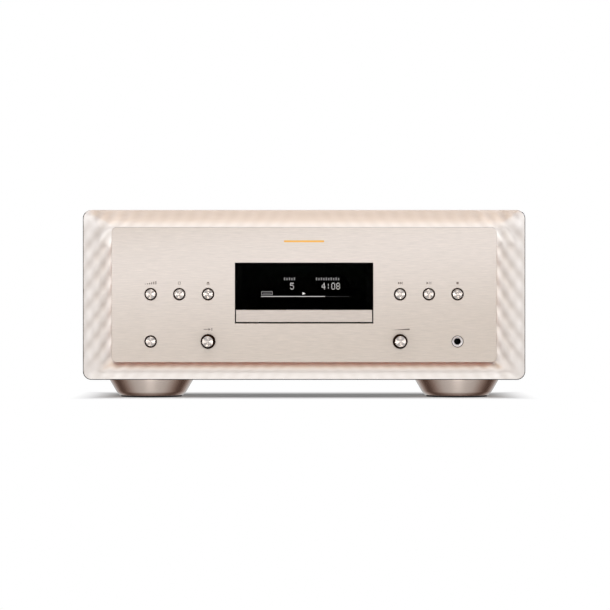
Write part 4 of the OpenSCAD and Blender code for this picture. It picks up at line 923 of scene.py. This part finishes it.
# Painted shade: the groove outside the dish takes the dark ring finish.
dark_beyond(dish, x, z, groove_r - groove_slack)
fit(dish, "spun_metal", bright_ring, ring_dark, replaces="phones_ring")
black_plastic = mottled("black_plastic", srgb(28, 27, 27), rough=0.5, scale=1500, contrast=0.2)
dress(black_plastic, "phones_socket", "input_encoder", "level_control", "ac_inlet", "turntable",
      "pickup_sled")


# Printed signs
# Small grey-brown signs are printed on the slab above the controls: plain shapes for what each one does.
# The ink lies on the metal as a thin film. Outlines are in units of a sign's height.

ink = mottled("printed_ink", srgb(104, 91, 82), rough=0.6, scale=2500, contrast=0.06, relief=0.001 * mm)
sign_h, ink_t = 2.6 * mm, 0.03 * mm
button_sign_up, knob_sign_up = 11.0 * mm, 12.0 * mm


def pointer(left, right):
    """A triangle that points from left to right."""
    return [(left, -0.5), (right, 0), (left, 0.5)]


signs = {
    "dimmer_button": [[rectangle(0.8 * i - 2.2, -0.5, 0.8 * i - 1.8, 0.2 * i - 0.3)] for i in range(6)],
    "layer_button": [[rectangle(-0.5, -0.5, 0.5, 0.5), rectangle(-0.34, -0.34, 0.34, 0.34)]],
    "eject_button": [[[(-0.6, -0.1), (0.6, -0.1), (0, 0.55)]], [rectangle(-0.6, -0.5, 0.6, -0.28)]],
    "skip_button": [[pointer(-0.8, 0.0)], [pointer(0.0, 0.8)], [rectangle(0.82, -0.5, 0.98, 0.5)]],
    "play_button": [[pointer(-0.9, 0.0)], [rectangle(0.25, -0.45, 0.45, 0.45)],
                    [rectangle(0.7, -0.45, 0.9, 0.45)]],
    "stop_button": [[rectangle(-0.42, -0.42, 0.42, 0.42)]],
    "input_knob": [[pointer(0.2, 1.0)], [rectangle(-1.7, -0.12, 0.2, 0.12)],
                   [rectangle(1.3, -0.5, 1.6, 0.5)]],
    "level_knob": [[[(-3.6, -0.25), (3.6, -0.25), (3.6, 0.3)]]],
}
for control, shapes in signs.items():
    x, z = middle(control)
    sign_place = (x, z + (knob_sign_up if control.endswith("knob") else button_sign_up))
    for number, shape in enumerate(shapes):
        outlines = [np.array(outline, float) * sign_h + sign_place for outline in shape]
        sign = flat_mark(f"{control}_sign_{number}", outlines, plate_low.y, ink_t)
        fit(sign, "dark_metal", ink)


# Covers and rear panel
# The top and sides are thick aluminium in the same champagne finish, brushed from front to back.
# The rear panel is sheet steel with dark paint, held by screws round its edge.

case_colour, streak_dark, streak_light = srgb(222, 208, 199), 0.955, 1.035
case_metal, tree, shader = plain_finish("case_metal", case_colour, rough=0.55, metal=0.2, specular=0.1)
lengthwise = grain(tree, (2600, 60, 2600), noise_rough=0.6)
vary(tree, shader, lengthwise, shade(case_colour, streak_dark), shade(case_colour, streak_light))
rough_range(tree, shader, lengthwise, low=0.5, high=0.6)
bumps(tree, shader, lengthwise, height=0.005 * mm)
dress(case_metal, "top_cover", "left_side_panel", "right_side_panel")
dress(mottled("rear_paint", srgb(48, 45, 43), rough=0.62, scale=1800, contrast=0.22, relief=0.03 * mm),
      "rear_panel")


# Rear sockets
# Four round sockets are gold-plated shells, each with a coloured insulator and a hole for the plug's pin.
# The two square optical sockets in the middle are black plastic, each with a small sprung flap.

socket_low, socket_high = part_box("rear_sockets")
panel_back_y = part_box("rear_panel")[1].y
socket_z = (socket_low.z + socket_high.z) / 2
socket_r, mouth_r, pin_r, body_r, flange_r = 4.15 * mm, 3.5 * mm, 1.65 * mm, 5 * mm, 7 * mm
flange_t, mouth_d, set_back, shell_round, core_round = 2 * mm, 8 * mm, 2.5 * mm, 0.15 * mm, 0.1 * mm
socket_gold = mottled("socket_gold", srgb(216, 170, 92), rough=0.22, metal=1.0, contrast=0.05,
                      relief=0.003 * mm)
insulators = (("red", 114.5 * mm, srgb(176, 40, 34)), ("white", 139.5 * mm, srgb(228, 226, 220)),
              ("black", 164.5 * mm, srgb(34, 33, 33)), ("orange", 189.5 * mm, srgb(206, 116, 42)))
for colour_name, x, colour in insulators:
    shell = turned_piece("socket_shell_" + colour_name, (x, 0, socket_z), [
        (0, socket_low.y), (body_r, socket_low.y), (body_r, panel_back_y), (flange_r, panel_back_y),
        (flange_r, panel_back_y + flange_t), (socket_r, panel_back_y + flange_t),
        (socket_r, socket_high.y), (mouth_r, socket_high.y), (mouth_r, socket_high.y - mouth_d),
        (0, socket_high.y - mouth_d)], shell_round, around=64)
    fit(shell, "contact_gold", socket_gold, replaces="rear_sockets")
    core = turned_piece("socket_insulator_" + colour_name, (x, 0, socket_z), [
        (pin_r, socket_high.y - mouth_d), (pin_r, socket_high.y - set_back),
        (mouth_r, socket_high.y - set_back), (mouth_r, socket_high.y - mouth_d),
        (pin_r, socket_high.y - mouth_d)], core_round, around=48)
    insulator = mottled("insulator_" + colour_name, colour, rough=0.4, scale=1500, contrast=0.06,
                        relief=0.004 * mm)
    fit(core, "white_plastic", insulator)


def square(x, side):
    """The corners of a square socket's part, centred on the row of sockets."""
    return rectangle(x - side / 2, socket_z - side / 2, x + side / 2, socket_z + side / 2)


case_side, frame_side, frame_t, flap_side = 11 * mm, 14 * mm, 1.5 * mm, 8 * mm
optical_x, flap_gap, flap_in, flap_back, optical_chamfer = 12.5 * mm, 0.3 * mm, 0.1 * mm, 0.5 * mm, 0.1 * mm
flap_plastic = mottled("flap_plastic", srgb(58, 57, 56), rough=0.45, scale=1500, relief=0.006 * mm)
for side, x in (("left", -optical_x), ("right", optical_x)):
    for name, outlines, front, back, finish in (
            ("optical_case_", [square(x, case_side)], socket_low.y, panel_back_y, black_plastic),
            ("optical_frame_", [square(x, frame_side), square(x, flap_side + flap_gap)], panel_back_y,
             panel_back_y + frame_t, black_plastic),
            ("optical_flap_", [square(x, flap_side)], panel_back_y + flap_in,
             panel_back_y + frame_t - flap_back, flap_plastic)):
        piece = flat_plate(name + side, outlines, front, back, optical_chamfer)
        fit(piece, "black_plastic", finish, replaces="rear_sockets")


# Disc transport
# The tray and its frame are black moulded plastic, with white gears, a rubber belt on a brass pulley, a
# steel clamp bridge and a small laser pickup on steel rods. The frame stands on the base.

tray_plastic = mottled("tray_plastic", srgb(40, 38, 38), rough=0.52, scale=1600, contrast=0.2,
                       relief=0.015 * mm)
dress(tray_plastic, "tray", "mech_frame")
dress(mottled("white_plastic", srgb(226, 222, 212), rough=0.42, contrast=0.03, relief=0.006 * mm),
      "loading_gear", "clamp_puck", "sled_gear", "lift_cam")
dress(mottled("belt_rubber", srgb(30, 28, 28), rough=0.85, scale=1500, contrast=0.25, relief=0.02 * mm),
      "drive_belt")
dress(mottled("pulley_brass", srgb(216, 170, 92), rough=0.22, metal=1.0, contrast=0.06, relief=0.003 * mm),
      "motor_pulley")
dress(mottled("zinc_sheet", srgb(170, 172, 172), rough=0.35, metal=0.9, scale=300, relief=0.008 * mm),
      "clamp_bridge", "traverse_plate")
dress(mottled("motor_can", srgb(176, 178, 178), rough=0.3, metal=1.0, scale=(60, 60, 1400), contrast=0.06,
              relief=0.005 * mm),
      "loading_motor", "spindle_motor", "sled_motor")
lens, tree, shader = plain_finish("lens_glass", (0.55, 0.7, 0.85, 1), rough=0.05)
set_sockets(shader, Transmission_Weight=0.8)
vary(tree, shader, grain(tree, 300, detail=1.0), (0.5, 0.64, 0.8, 1), (0.62, 0.76, 0.9, 1))
dress(lens, "pickup_lens")


# Electronics
# Green boards stand on studs, with sleeved capacitors soldered to them and flat grey cables between them.
# The transformer sits in a painted can that stands on the base.

board_green = mottled("board_green", srgb(44, 92, 60), rough=0.4, scale=160, contrast=0.3, relief=0.03 * mm)
dress(board_green, "control_boards", "power_board", "signal_boards")
dress(mottled("can_paint", srgb(122, 74, 46), rough=0.45, metal=0.3, contrast=0.12, relief=0.015 * mm),
      "transformer_can")
dress(mottled("capacitor_sleeve", srgb(40, 52, 74), rough=0.35, scale=(300, 300, 60), contrast=0.12),
      "capacitors")
dress(mottled("flat_cable", srgb(186, 181, 171), rough=0.6, scale=(900, 60, 900), relief=0.02 * mm),
      "wiring")
